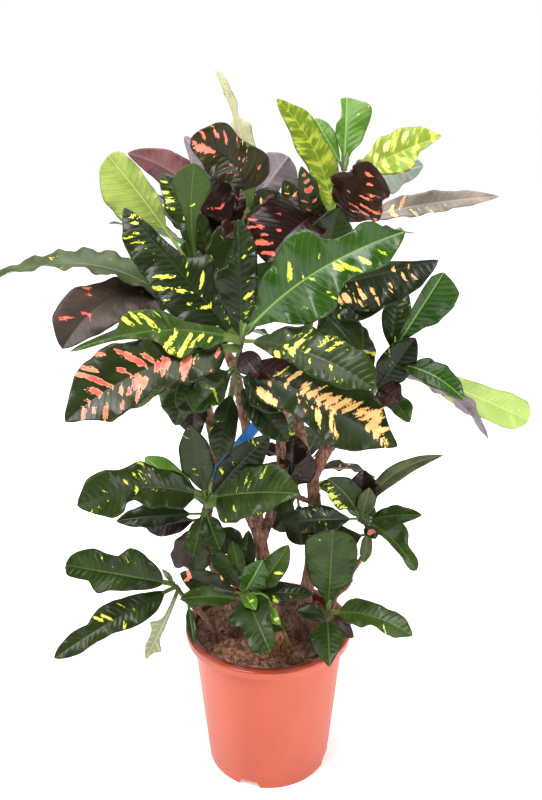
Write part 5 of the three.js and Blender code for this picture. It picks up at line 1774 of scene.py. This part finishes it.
FRONT_LOW = (
    Leaf(0.9, (-130, -92, 380), 40, Form.OVAL, FRONT, 8, Top.EMBER, marks=((0.84, -0.1, 10, 4),)),
    Leaf(0.6, (-128, -118, 352), 36, Form.OVAL, (0, -2, 3), 10, Top.MID),
    small(0.95, (-84, -62, 404), 30, 4, Top.DEEP),
    Leaf(1, (-54, -56, 414), 28, Form.SMALL, (0, -3, 0), 4, Top.MID),
    Leaf(0.9, (-30, -44, 426), 28, Form.SMALL, (0, -3, 0), 4, Top.DEEP),
    Leaf(1, (-8, -100, 406), 44, Form.WAVED, FRONT, 6, Top.BRIGHT),
    Leaf(0.95, (3, -172, 302), 74, Form.BOOT, (0, -3, 2), 12, Top.MID, rounding=2.2),
    Leaf(0.7, (30, -84, 422), 38, Form.OVAL, FRONT, 4, Top.MID, bow=-4, marks=((0.55, -0.6, 6, 4),)),
    Leaf(0.5, (24, -112, 298), 34, Form.SMALL, FRONT, 8, Top.EMBER, marks=(
        (0.3, -0.3, 5, 3), (0.15, 0, 4, 3), (0.45, -0.5, 4, 2))),
    Leaf(0.8, (68, -88, 342), 34, Form.LANCE, (0, -2, 3), 8, Top.DEEP),
    Leaf(0.9, (6, -112, 330), 28, Form.SMALL, (0, -2, 2), 8, Top.FRESH, marks=((0.5, 0.2, 5, 4),)),
    Leaf(0.85, (-18, -124, 338), 24, Form.SMALL, (0, -2, 2), 6, Top.FRESH, marks=((0.6, 0.2, 4, 3),)),
    Leaf(0.8, (18, -130, 318), 26, Form.SMALL, (0, -2, 2), 6, Top.FRESH, marks=(
        (0.5, 0.3, 5, 4), (0.7, -0.3, 5, 4), (0.85, 0.2, 4, 3))),
)

RIGHT_LOW = (
    Leaf(1, (96, -66, 438), 80, Form.LAP, (0, -3, 0), 4, Top.MID, rounding=2.0, marks=(
        (0.88, 0.5, 3, 1.5),)),
    Leaf(0.9, (208, -140, 306), 52, Form.SCALLOP, (0, -2, 3), 14, Top.MID, bow=7, marks=(
        (0.7, -0.7, 5, 2),)),
    Leaf(0.8, (89, -140, 254), 54, Form.KITE, (0, -2, 2), 8, Top.MID),
    Leaf(0.5, (130, -84, 266), 24, Form.SMALL, (0, -2, 2), 6, Top.PLUM),
    Leaf(0.7, (42, -84, 312), 28, Form.SMALL, (0, -2, 2), 6, Top.DEEP),
)

RIGHT_INNER = (
    Leaf(1, (62, -44, 548), 40, Form.SMALL, (1, -3, 0), 8, Top.WINE),
    small(0.8, (8, -44, 458), 34, 6, Top.DEEP),
    Leaf(0.9, (34, -42, 532), 32, Form.SMALL, (0, -3, 0), 4, Top.DEEP),
    oval(0.5, (-10, 6, 508), 50, 6, Top.DEEP),
    oval(0.2, (56, 14, 372), 52, 6, Top.DEEP),
    oval(0.3, (10, 2, 404), 44, 6, Top.DEEP),
    oval(0.6, (40, 10, 560), 46, 6, Top.WINE),
)

RIGHT_MIDDLE = (
    Leaf(1, (88, -42, 510), 48, Form.OVAL, FRONT, 4, Top.MID, bow=-6, marks=(
        (0.86, 0.75, 5, 3), (0.76, 0.85, 6, 4), (0.66, 0.75, 6, 4), (0.56, 0.85, 6, 4), (0.46, 0.75, 5, 4),
        (0.36, 0.8, 5, 3), (0.26, 0.7, 4, 3), (0.6, 0.45, 4, 2), (0.8, 0.4, 3, 2))),
    Leaf(0.9, (146, -4, 508), 50, Form.SMALL, (0, -3, 0), 6, Top.WINE),
    Leaf(0.95, (258, -42, 546), 26, Form.LANCE, (0, -2, 2), 8, Top.SLATE, bow=20, twist=30),
    small(0.85, (153, -26, 488), 30, 4, Top.SLATE),
    Leaf(0.7, (232, -42, 450), 32, Form.LANCE, (0, -2, 2), 10, Top.MID),
    Leaf(0.75, (218, -92, 384), 54, Form.DROOP, (0, -2, 2), 30, Top.MID),
    Leaf(0.4, (163, -40, 409), 26, Form.SMALL, (0, -2, 2), 6, Top.EMBER, marks=((0.5, 0, 8, 5),)),
    small(0.3, (146, -46, 372), 20, 4, Top.SLATE),
    oval(0.1, (84, 16, 372), 56, 6, Top.DEEP),
    Leaf(0.9, (20, -62, 446), 46, Form.OVAL, (0, -3, 2), 8, Top.DEEP, marks=(
        (0.4, 0.3, 3, 2), (0.6, -0.3, 3, 2))),
)

SHOOTS = (
    LeafyShoot("crown_front", ((-56, -45, 622), (-46, -72, 680), (-34, -96, 736)), CROWN_FRONT, 101),
    LeafyShoot("crown_left", ((-103, 4, 668), (-82, 12, 775), (-26, 30, 900)), CROWN_LEFT, 102),
    LeafyShoot("crown_right", ((64, 24, 752), (92, 18, 850), (108, 38, 948)), CROWN_RIGHT, 103),
    LeafyShoot("crown_edge", ((150, 3, 618), (166, 0, 650), (180, -4, 690)), CROWN_EDGE, 104),
    LeafyShoot("left_middle", ((-106, -26, 416), (-100, -30, 442), (-92, -30, 472)), LEFT_MIDDLE, 105),
    LeafyShoot("left_low", ((-116, -36, 288), (-132, -32, 304), (-148, -26, 324)), LEFT_LOW, 106),
    LeafyShoot("front_low", ((-34, -69, 297), (-35, -71, 316), (-36, -74, 338)), FRONT_LOW, 107),
    LeafyShoot("right_low", ((90, -50, 262), (91, -51, 275), (92, -53, 290)), RIGHT_LOW, 108),
    LeafyShoot("right_inner", ((48, -18, 468), (40, -20, 476), (32, -22, 486)), RIGHT_INNER, 109),
    LeafyShoot("right_middle", ((159, -9, 400), (153, -9, 418), (140, -11, 432)), RIGHT_MIDDLE, 110),
    FullShoot("back_left", ((-68, 118, 668), (-92, 140, 760), (-96, 150, 860)), 13, 128, 100, (140, 195),
              (-25, 40), 11),
    FullShoot("back_right", ((66, 104, 716), (84, 134, 790), (92, 146, 870)), 13, 48, 95, (140, 195),
              (-25, 40), 23),
    FullShoot("back_low", ((46, 128, 426), (60, 138, 446), (66, 144, 470)), 7, 80, 100, (110, 160),
              (-30, 35), 37),
)

# How the stems stand in the compost, in millimetres, and how much wider a branch is at its foot.
SOIL_LEVEL = 228
PLANTING_DEPTH = 120
PLANTING_COLLAR = 6
BRANCH_FLARE = 1.1


@dataclass(frozen=True)
class Run:
    """A run of wood through some points, up to the foot of a leafy shoot."""

    shoot: str
    radius: float
    through: tuple[Point, ...]
    start: Point | None = None


@dataclass
class WoodyStem:
    """A woody stem planted in the soil, with its side branches."""

    name: str
    foot: tuple[float, float]
    radius: float
    runs: tuple[Run, ...]
    seed: int
    knob: float = 0.12

    SIDES = 28
    RING_PITCH = 2.2
    TAPER = 16
    FIRST_SCAR = (4, 14)
    LAST_SCAR = 6
    SCAR_GAPS = (9, 20)
    SCAR_REACH = 1.6
    SCAR_HEIGHTS = (0.6, 1.5)
    STUB_CHANCE = 0.3
    STUB_REACH = 4.0
    STUB_ANGLE = 0.55
    STUB_SHARES = (0.2, 0.4)
    SWELL_LENGTH = 18
    GRAIN_LENGTH = 5
    GRAIN = 0.05
    SHOOT_ENDS = {shoot.name: shoot.twig[0] for shoot in SHOOTS}

    def build(self) -> bpy.types.Object:
        """Builds the stem.

        Returns:
            Its one piece.
        """
        skin = Skin(f"{self.name}_bark")
        for index, run in enumerate(self.runs):
            self._add_run(skin, run, np.random.default_rng([self.seed, index]))
        return settle(skin.piece(), "bark", self.name)

    def _add_run(self, skin: Skin, run: Run, rng: np.random.Generator) -> None:
        """Adds one run of wood.

        Args:
            skin: The stem's skin.
            run: The run.
            rng: Its seeded source.
        """
        end = self.SHOOT_ENDS[run.shoot]
        if run.start is None:
            depths = (-PLANTING_DEPTH, -PLANTING_DEPTH / 2, PLANTING_COLLAR)
            planted = [(*self.foot, SOIL_LEVEL + depth) for depth in depths]
            route = Route([*planted, *run.through, end])
            first = self.radius
        else:
            route = Route([run.start, *run.through, end])
            first = run.radius * BRANCH_FLARE
        rows = int(route.length / self.RING_PITCH)
        place = np.linspace(0, 1, rows)
        base = mix(first, run.radius, place)
        left = (1 - place) * route.length
        if run.radius > TWIG_FOOT_RADIUS:
            base = mix(TWIG_FOOT_RADIUS * 0.95, base, ease(0, self.TAPER, left))
        skin.add(route.rings(self._knotted(base, place * route.length, rng), self.SIDES), Finish.BARK)

    def _knotted(self, base: np.ndarray, height: np.ndarray, rng: np.random.Generator) -> np.ndarray:
        """Gives the radius at each ring and side, with swellings, leaf scars and knots.

        Args:
            base: The smooth radius at each ring.
            height: The distance along the run at each ring.
            rng: The run's seeded source.

        Returns:
            The radii in millimetres.
        """
        rows = len(base)
        length = height[-1]
        turns = steps_round(self.SIDES)
        swell = ripple(rng, rows, self.SIDES, (max(2, int(length / self.SWELL_LENGTH)), 5)) * self.knob
        grain = ripple(rng, rows, self.SIDES, (max(4, int(length / self.GRAIN_LENGTH)), 14)) * self.GRAIN
        radii = base[:, None] * (1 + swell + grain)
        place = rng.uniform(*self.FIRST_SCAR)
        while place < length - self.LAST_SCAR:
            bearing = rng.uniform(0, 2 * np.pi)
            ridge = np.exp(-((height - place) / self.SCAR_REACH) ** 2)[:, None]
            radii += ridge * (0.55 + 0.45 * np.cos(turns - bearing)) * rng.uniform(*self.SCAR_HEIGHTS)
            if rng.random() < self.STUB_CHANCE:
                aside = np.angle(np.exp(1j * (turns - bearing)))
                away = ((height - place) / self.STUB_REACH)[:, None]
                stub = np.exp(-away ** 2 - (aside / self.STUB_ANGLE) ** 2)
                radii += stub * base[:, None] * rng.uniform(*self.STUB_SHARES)
            place += rng.uniform(*self.SCAR_GAPS)
        return radii


STEMS = (
    WoodyStem("stem_front", (24, -66), 12, (
        Run("crown_front", 7.5, ((14, -62, 268), (-2, -52, 330), (-12, -42, 410), (-32, -36, 455),
                                 (-52, -28, 525), (-60, -30, 585))),
        Run("crown_right", 7.5, ((4, -30, 445), (20, -12, 505), (20, 2, 565), (40, 18, 655), (58, 24, 720)),
            (-12, -42, 404)),
    ), 201, 0.16),
    WoodyStem("stem_right", (52, -30), 13, (
        Run("crown_edge", 8, ((56, -28, 280), (66, -22, 350), (74, -12, 425), (70, -4, 495), (84, 0, 530),
                              (106, 2, 560), (132, 3, 592))),
        Run("back_right", 7.5, ((52, 12, 545), (46, 50, 620), (58, 88, 690)), (70, -4, 492)),
        Run("right_inner", 4, ((58, -14, 462),), (72, -8, 455)),
    ), 202),
    WoodyStem("stem_left", (-52, -26), 10.5, (
        Run("crown_left", 8, ((-62, -22, 290), (-84, -12, 345), (-100, 0, 390), (-95, 12, 445),
                              (-80, 14, 500), (-84, 10, 560), (-98, 6, 630))),
        Run("left_middle", 5.5, ((-103, -14, 402),), (-99, -1, 386)),
    ), 203),
    WoodyStem("stem_back", (-8, 62), 12, (
        Run("back_left", 8, ((-10, 66, 300), (-22, 78, 420), (-36, 92, 540), (-56, 108, 640))),
        Run("back_low", 6, ((6, 96, 390), (30, 118, 410)), (-16, 72, 360)),
    ), 204),
    WoodyStem("stem_thin", (99, -14), 4.2, (
        Run("right_middle", 3.6, ((102, -16, 270), (108, -19, 300), (126, -19, 318), (132, -14, 336),
                                  (150, -10, 366), (159, -9, 386))),
    ), 205),
    WoodyStem("stem_low_left", (-84, -40), 5, (
        Run("left_low", 4.4, ((-88, -40, 256), (-104, -38, 278))),
    ), 206),
    WoodyStem("stem_low_front", (-30, -66), 5, (
        Run("front_low", 4.4, ((-32, -66, 262), (-34, -68, 285))),
    ), 207),
    WoodyStem("stem_low_right", (84, -48), 4.6, (
        Run("right_low", 4.2, ((88, -49, 250),)),
    ), 208),
)


# The pot's sizes, in millimetres, which the compost shares.
POT_HEIGHT = 240
POT_BASE_RADIUS = 100
POT_TOP_RADIUS = 123.5
POT_WALL = 2.2
FLOOR_THICKNESS = 3
CORNER_POINTS = 6


def pot_radius(height: float) -> float:
    """Gives the outside radius of the pot's wall at a height, in millimetres."""
    return mix(POT_BASE_RADIUS, POT_TOP_RADIUS, height / POT_HEIGHT)


def turned(name: str, profile: list[tuple[float, float]], sides: int) -> bpy.types.Object:
    """Turns a closed profile into a solid of revolution.

    Args:
        name: The object's name.
        profile: The radius and height of each corner, from the axis out, up and back to the axis.
        sides: How many points each ring has.

    Returns:
        The object, in metres.
    """
    turns = steps_round(sides)
    circle = np.stack([np.cos(turns), np.sin(turns), np.zeros(sides)], axis=-1)
    inner = profile[1:-1]
    points = [np.array([[0.0, 0.0, profile[0][1]]])]
    points += [circle * radius + [0.0, 0.0, height] for radius, height in inner]
    points += [np.array([[0.0, 0.0, profile[-1][1]]])]
    last = 1 + len(inner) * sides
    faces = []
    for side in range(sides):
        beyond = (side + 1) % sides
        faces.append((0, 1 + beyond, 1 + side))
        for ring in range(len(inner) - 1):
            low = 1 + ring * sides
            high = low + sides
            faces.append((low + side, low + beyond, high + beyond, high + side))
        faces.append((last, last - sides + side, last - sides + beyond))
    mesh = bpy.data.meshes.new(name)
    mesh.from_pydata(np.concatenate(points) * MM, [], faces)
    return add_object(name, mesh)


def combine(target: bpy.types.Object, tool: bpy.types.Object, operation: str) -> None:
    """Joins or cuts a solid with another, which is then removed.

    Args:
        target: The solid that is changed.
        tool: The other solid.
        operation: UNION or DIFFERENCE.
    """
    change = target.modifiers.new("combine", "BOOLEAN")
    change.operation = operation
    change.solver = "EXACT"
    change.object = tool
    bake_modifiers(target)
    bpy.data.objects.remove(tool, do_unlink=True)


def bake_modifiers(target: bpy.types.Object) -> None:
    """Turns an object's modifiers into plain mesh.

    Args:
        target: The object.
    """
    seen = target.evaluated_get(bpy.context.evaluated_depsgraph_get())
    mesh = bpy.data.meshes.new_from_object(seen)
    target.modifiers.clear()
    target.data = mesh


@dataclass
class Pot:
    """The tapered pot with its rolled lip, and the drainage channels in its foot."""

    lip_radius: float = 135.0
    lip_depth: float = 13.0
    lip_corner: float = 3.0
    lip_inner_corner: float = 1.6
    lip_outer_corner: float = 1.2
    foot_bevel: float = 1.5
    sides: int = 192
    channel_count: int = 4
    channel_first: float = -108.0
    channel_width: float = 37.0
    channel_top_width: float = 27.0
    channel_height: float = 11.0
    channel_inner: float = 58.0
    hole_radius: float = 5.0
    hole_place: float = 70.0
    channel_roof: float = 15.0
    sharp_angle: float = 28.0

    FLAT_RADII = (0.0, 30.0, 60.0, 90.0)
    WALL_HEIGHTS = (30, 60, 90, 120, 150, 180, 210)
    CUT_FROM = -1.0
    WALL_FROM = 0.5
    PEG_HEIGHTS = (-20.0, 0.0, 24.0)
    PEG_SIDES = 32

    def build(self) -> bpy.types.Object:
        """Builds the pot.

        Returns:
            Its one piece.
        """
        pot = turned("pot_shell", self._profile(), self.sides)
        for index in range(self.channel_count):
            length = pot_radius(self.channel_roof) - self.channel_inner - POT_WALL / 2
            combine(pot, self._bar(self._bearing(index), POT_WALL, length), "UNION")
        for index in range(self.channel_count):
            turn = self._bearing(index)
            combine(pot, self._bar(turn, 0.0, POT_TOP_RADIUS - self.channel_inner), "DIFFERENCE")
            combine(pot, self._peg(turn), "DIFFERENCE")
        pot.data.materials.append(PALETTE[Finish.POT_PLASTIC])
        pot.data.polygons.foreach_set("use_smooth", np.ones(len(pot.data.polygons), bool))
        pot.data.set_sharp_from_angle(angle=math.radians(self.sharp_angle))
        return settle(pot, "pot", "pot")

    def _bearing(self, index: int) -> float:
        """Gives a channel's bearing in radians."""
        return math.radians(self.channel_first + index * 360 / self.channel_count)

    def _rounded(self, corner: tuple[float, float], radius: float, first: float,
                 last: float) -> list[tuple[float, float]]:
        """Gives the points of a rounded corner of the profile.

        Args:
            corner: The centre of the rounding.
            radius: Its radius.
            first: The angle that it starts at, in degrees.
            last: The angle that it ends at.

        Returns:
            The points.
        """
        angles = np.radians(np.linspace(first, last, CORNER_POINTS))
        return [(corner[0] + radius * math.cos(a), corner[1] + radius * math.sin(a)) for a in angles]

    def _profile(self) -> list[tuple[float, float]]:
        """Gives the pot's section.

        Returns:
            The radius and height of each corner, from the middle of its underside to that of its floor.
        """
        under_lip = POT_HEIGHT - POT_WALL
        lip_foot = POT_HEIGHT - self.lip_depth
        mouth = pot_radius(POT_HEIGHT) - POT_WALL
        r = self.lip_corner
        section = [(radius, 0.0) for radius in self.FLAT_RADII]
        bevel = self.foot_bevel
        section += self._rounded((POT_BASE_RADIUS - bevel, bevel), bevel, -90, 0)
        section += [(pot_radius(z), z) for z in (*self.WALL_HEIGHTS, lip_foot + 1)]
        inner, outer, edge = self.lip_inner_corner, self.lip_outer_corner, POT_WALL / 2
        section += self._rounded((pot_radius(under_lip) + inner, under_lip - inner), inner, 180, 90)
        section += self._rounded((self.lip_radius - POT_WALL - outer, under_lip - outer), outer, 90, 0)
        section += self._rounded((self.lip_radius - edge, lip_foot + edge), edge, 180, 360)
        section += self._rounded((self.lip_radius - r, POT_HEIGHT - r), r, 0, 90)
        section += self._rounded((mouth + r, POT_HEIGHT - r), r, 90, 180)
        section += [(pot_radius(z) - POT_WALL, z) for z in (*self.WALL_HEIGHTS[::-1], FLOOR_THICKNESS)]
        section += [(radius, FLOOR_THICKNESS) for radius in self.FLAT_RADII[-2::-1]]
        return section

    def _bar(self, turn: float, margin: float, length: float) -> bpy.types.Object:
        """Makes the slanted bar that forms one drainage channel.

        Args:
            turn: Its bearing in radians.
            margin: How much wider it is than the channel.
            length: Its length.

        Returns:
            The bar.
        """
        low = self.channel_width / 2 + margin
        high = self.channel_top_width / 2 + margin
        bottom = self.CUT_FROM if margin == 0 else self.WALL_FROM
        section = [(-low, bottom), (low, bottom), (high, self.channel_height + margin),
                   (-high, self.channel_height + margin)]
        outward = level(turn)
        aside = np.array([-outward[1], outward[0], 0.0])
        near = self.channel_inner - margin
        rings = [[outward * reach + aside * y + UPWARD * z for y, z in section]
                 for reach in (near, near + length)]
        skin = Skin("bar")
        skin.add(np.array(rings), Finish.POT_PLASTIC)
        return skin.piece()

    def _peg(self, turn: float) -> bpy.types.Object:
        """Makes the peg that cuts one drain hole.

        Args:
            turn: Its bearing in radians.

        Returns:
            The peg.
        """
        centre = level(turn) * self.hole_place
        route = Route([(*centre[:2], height) for height in self.PEG_HEIGHTS])
        skin = Skin("peg")
        skin.add(route.rings(np.full(2, self.hole_radius), self.PEG_SIDES), Finish.POT_PLASTIC)
        return skin.piece()


# The compost's crumbs, in millimetres, and the share of its radius where its top closes.
SMALLEST_RING_SHARE = 0.004
FINE_CRUMB = (0.9, 1.8)
COARSE_CRUMB = (1.8, 3.4)
BIG_LUMP = 3
SMALL_LUMP_GRID = (6, 8)
BIG_LUMP_GRID = (12, 18)
LUMP_POLE = 0.06
LUMP_BUMPS = (((3, 4), 0.34), ((5, 8), 0.16))
LUMP_FLATNESS = (0.45, 0.9)
LUMP_LIFT = 0.15
CRUMB_STRETCH = 1.8
CLOD_STRETCH = 1.25


@dataclass
class Soil:
    """The compost that fills the pot, with a crumbly top, loose crumbs and clods."""

    mound: float = 5.0
    gap: float = 0.3
    rings: int = 70
    sides: int = 180
    crumbs: int = 900
    above_channels: float = 12.0
    pale_share: float = 0.34
    fine_share: float = 0.8
    seed: int = 31
    roughness: tuple[tuple[tuple[int, int], float], ...] = (((26, 64), 1.3), ((60, 150), 0.9), ((9, 18), 1.4))
    clods: tuple[tuple[float, float, float], ...] = (
        (-22, -92, 9), (6, -96, 8), (-48, -88, 7), (40, -92, 7), (70, -78, 6), (-78, -66, 6),
    )

    def build(self) -> bpy.types.Object:
        """Builds the soil.

        Returns:
            Its one piece.
        """
        rng = np.random.default_rng(self.seed)
        skin = Skin("compost")
        self._add_fill(skin, rng)
        for x, y, size in self.clods:
            self._add_lump(skin, x, y, size, Finish.COMPOST, rng)
        for _ in range(self.crumbs):
            bearing = rng.uniform(0, 2 * np.pi)
            away = math.sqrt(rng.uniform(0, 1)) * (self._edge() - 5)
            kind = Finish.CRUMB if rng.random() < self.pale_share else Finish.COMPOST
            size = rng.uniform(*FINE_CRUMB) if rng.random() < self.fine_share else rng.uniform(*COARSE_CRUMB)
            self._add_lump(skin, away * math.cos(bearing), away * math.sin(bearing), size, kind, rng)
        return settle(skin.piece(), "soil", "soil")

    def _edge(self) -> float:
        """Gives the radius of the soil's top."""
        return pot_radius(SOIL_LEVEL) - POT_WALL - self.gap

    def _height(self, x: float, y: float) -> float:
        """Gives the height of the mounded top at a point."""
        share = min(math.hypot(x, y) / self._edge(), 1.0)
        return SOIL_LEVEL + self.mound * (1 - share * share)

    def _add_fill(self, skin: Skin, rng: np.random.Generator) -> None:
        """Adds the filled body, whose top is displaced into crumbs.

        Args:
            skin: The soil's skin.
            rng: The seeded source.
        """
        turns = -steps_round(self.sides)
        circle = np.stack([np.cos(turns), np.sin(turns)], axis=-1)[::-1]
        bottom = FLOOR_THICKNESS + self.gap + self.above_channels
        low = pot_radius(bottom) - POT_WALL - self.gap
        share = np.linspace(1, SMALLEST_RING_SHARE, self.rings)
        radii = np.concatenate([[low], self._edge() * share])
        rough = np.zeros((self.rings, self.sides))
        for cells, height in self.roughness:
            rough += ripple(rng, self.rings, self.sides, cells) * height
        rough *= ease(0, 0.2, np.linspace(0, 1, self.rings))[:, None] * 0.8 + 0.2
        top = SOIL_LEVEL + self.mound * (1 - share ** 2)
        heights = np.vstack([np.full((1, self.sides), bottom), top[:, None] + rough])
        rings = np.dstack([circle[None] * radii[:, None, None], heights[..., None]])
        skin.add(rings, Finish.COMPOST)

    def _add_lump(self, skin: Skin, x: float, y: float, size: float, finish: Finish,
                  rng: np.random.Generator) -> None:
        """Adds one rough lump that lies in the soil's top.

        Args:
            skin: The soil's skin.
            x: Its place from left to right.
            y: Its place from front to back.
            size: Its rough radius.
            finish: Its finish.
            rng: The seeded source.
        """
        rows, sides = SMALL_LUMP_GRID if size < BIG_LUMP else BIG_LUMP_GRID
        tilt = np.linspace(LUMP_POLE, np.pi - LUMP_POLE, rows)[:, None]
        turns = steps_round(sides)
        bumps = sum(height * ripple(rng, rows, sides, cells) for cells, height in LUMP_BUMPS)
        radius = size * (1 + bumps)
        flat = rng.uniform(*LUMP_FLATNESS)
        long = rng.uniform(1.0, CRUMB_STRETCH if finish is Finish.CRUMB else CLOD_STRETCH)
        local = np.stack([radius * np.sin(tilt) * np.cos(turns) * long, radius * np.sin(tilt) * np.sin(turns),
                          -radius * np.cos(tilt) * flat], axis=-1)
        spin = rng.uniform(0, np.pi)
        spun = np.array([level(spin), level(spin + np.pi / 2), UPWARD])
        skin.add(local @ spun + [x, y, self._height(x, y) + size * LUMP_LIFT], finish)


@dataclass
class Label:
    """The blank label: a curved strip that stands up from a band round a stem."""

    place: Point = (-80, 14, 500)
    width: float = 18.0
    length: float = 112.0
    thickness: float = 0.8
    band_height: float = 12.0
    band_radius: float = 11.0
    lean: float = 38.0
    sides: int = 48
    rows: int = 60
    end_rounding: float = 5.0
    end_width_share: float = 0.72
    cross_curl: float = 1.0
    long_curl: float = 1.6
    bevel: float = 0.3

    def build(self) -> bpy.types.Object:
        """Builds the label.

        Returns:
            Its one piece.
        """
        skin = Skin("plant_label")
        self._add_strip(skin)
        self._add_band(skin)
        return settle(skin.piece(), "label", "label")

    def _add_strip(self, skin: Skin) -> None:
        """Adds the strip, with rounded ends and a slight curl across it.

        Args:
            skin: The label's skin.
        """
        share = np.linspace(0, 1, self.rows)[:, None]
        ends = np.sqrt(np.clip(np.minimum(share, 1 - share) * self.length / self.end_rounding, 0, 1))
        half = self.width / 2 * mix(self.end_width_share, 1.0, ends)
        across = np.array([1, 0.6, 0.2, -0.2, -0.6, -1, -1, -0.6, -0.2, 0.2, 0.6, 1])
        side = np.repeat([1, -1], len(across) // 2)
        curl = self.cross_curl * across ** 2 + self.long_curl * np.sin(share * np.pi)
        x = half * across
        y = -self.band_radius - self.thickness - curl - side * self.thickness / 2
        z = np.broadcast_to(share * self.length - self.band_height, x.shape)
        lean = math.radians(self.lean)
        turned_x = x * math.cos(lean) + z * math.sin(lean)
        turned_z = -x * math.sin(lean) + z * math.cos(lean)
        skin.add(np.stack([turned_x, y, turned_z], axis=-1) + np.array(self.place), Finish.LABEL_PLASTIC)

    def _add_band(self, skin: Skin) -> None:
        """Adds the band, a flat ring about the stem.

        Args:
            skin: The label's skin.
        """
        inside = self.band_radius
        outside = inside + self.thickness
        half = self.band_height / 2
        cut = self.bevel
        section = [(outside, -half + cut), (outside, half - cut), (outside - cut, half), (inside + cut, half),
                   (inside, half - cut), (inside, -half + cut), (inside + cut, -half), (outside - cut, -half)]
        turns = np.arange(self.sides + 1) / self.sides * 2 * np.pi
        rings = np.array([[(r * math.cos(a), r * math.sin(a), z) for r, z in section] for a in turns])
        skin.add(rings[:, ::-1] + np.array(self.place), Finish.LABEL_PLASTIC)


@dataclass(frozen=True)
class Softbox:
    """A square soft light that faces the middle of the plant, in metres and watts."""

    name: str
    place: Point
    size: float
    power: float

    AIM = (0.0, 0.0, 0.6)

    def build(self) -> None:
        """Adds the light."""
        data = bpy.data.lights.new(self.name, "AREA")
        data.size = self.size
        data.energy = self.power
        light = add_object(self.name, data)
        light.location = self.place
        light.rotation_euler = (Vector(self.place) - Vector(self.AIM)).to_track_quat("Z", "Y").to_euler()


SOFTBOXES = (
    Softbox("key", (-1.1, -1.0, 2.6), 1.2, 66.0),
    Softbox("top", (0.1, 0.3, 2.7), 1.8, 52.0),
    Softbox("right", (1.9, -1.2, 1.3), 1.1, 34.0),
    Softbox("left", (-2.0, -0.4, 1.2), 1.1, 16.0),
)


@dataclass
class Studio:
    """The camera, the plain pale floor and the soft lights."""

    camera_place: Point = (0.0041, -1.118, 0.948)
    camera_pitch: float = 16.42
    lens: float = 35.0
    floor_size: float = 40.0
    wall_light: float = 0.6
    room_light: float = 0.1
    wall_reach: Span = (-0.1, 0.6)

    def build(self) -> None:
        """Sets up the camera, the floor, the lights and the surroundings."""
        self._camera()
        self._floor()
        self._world()
        for softbox in SOFTBOXES:
            softbox.build()
        bpy.context.scene.view_settings.view_transform = "Standard"

    def _camera(self) -> None:
        """Adds the camera."""
        data = bpy.data.cameras.new("camera")
        data.lens = self.lens
        camera = add_object("camera", data)
        camera.location = self.camera_place
        camera.rotation_euler = (math.radians(90 - self.camera_pitch), 0, 0)
        bpy.context.scene.camera = camera

    def _floor(self) -> None:
        """Adds the floor."""
        half = self.floor_size / 2
        corners = [(-half, -half, 0), (half, -half, 0), (half, half, 0), (-half, half, 0)]
        mesh = bpy.data.meshes.new("floor")
        mesh.from_pydata(corners, [], [(0, 1, 2, 3)])
        mesh.materials.append(PALETTE[Finish.FLOOR])
        add_object("floor", mesh)

    def _world(self) -> None:
        """Sets the surroundings: white to look at, and bright behind the plant but dim before it."""
        world = bpy.data.worlds.new("studio")
        world.use_nodes = True
        graph = Graph(world.node_tree)
        _, depth, _ = graph.split(graph.node("ShaderNodeTexCoord", output="Generated"))
        seen = graph.node("ShaderNodeLightPath", output="Is Camera Ray")
        wall = depth.rise(*self.wall_reach) * self.wall_light + self.room_light
        ground = world.node_tree.nodes["Background"]
        ground.inputs["Color"].default_value = WHITE
        graph.feed(ground.inputs["Strength"], seen.most(wall))
        bpy.context.scene.world = world


def main() -> None:
    """Builds the studio, then the pot, the soil, the stems, the shoots and the label."""
    logging.basicConfig(level=logging.INFO, format="%(name)s: %(message)s")
    Studio().build()
    Pot().build()
    Soil().build()
    for stem in STEMS:
        stem.build()
    for shoot in SHOOTS:
        shoot.build()
    Label().build()


if __name__ == "__main__":
    main()
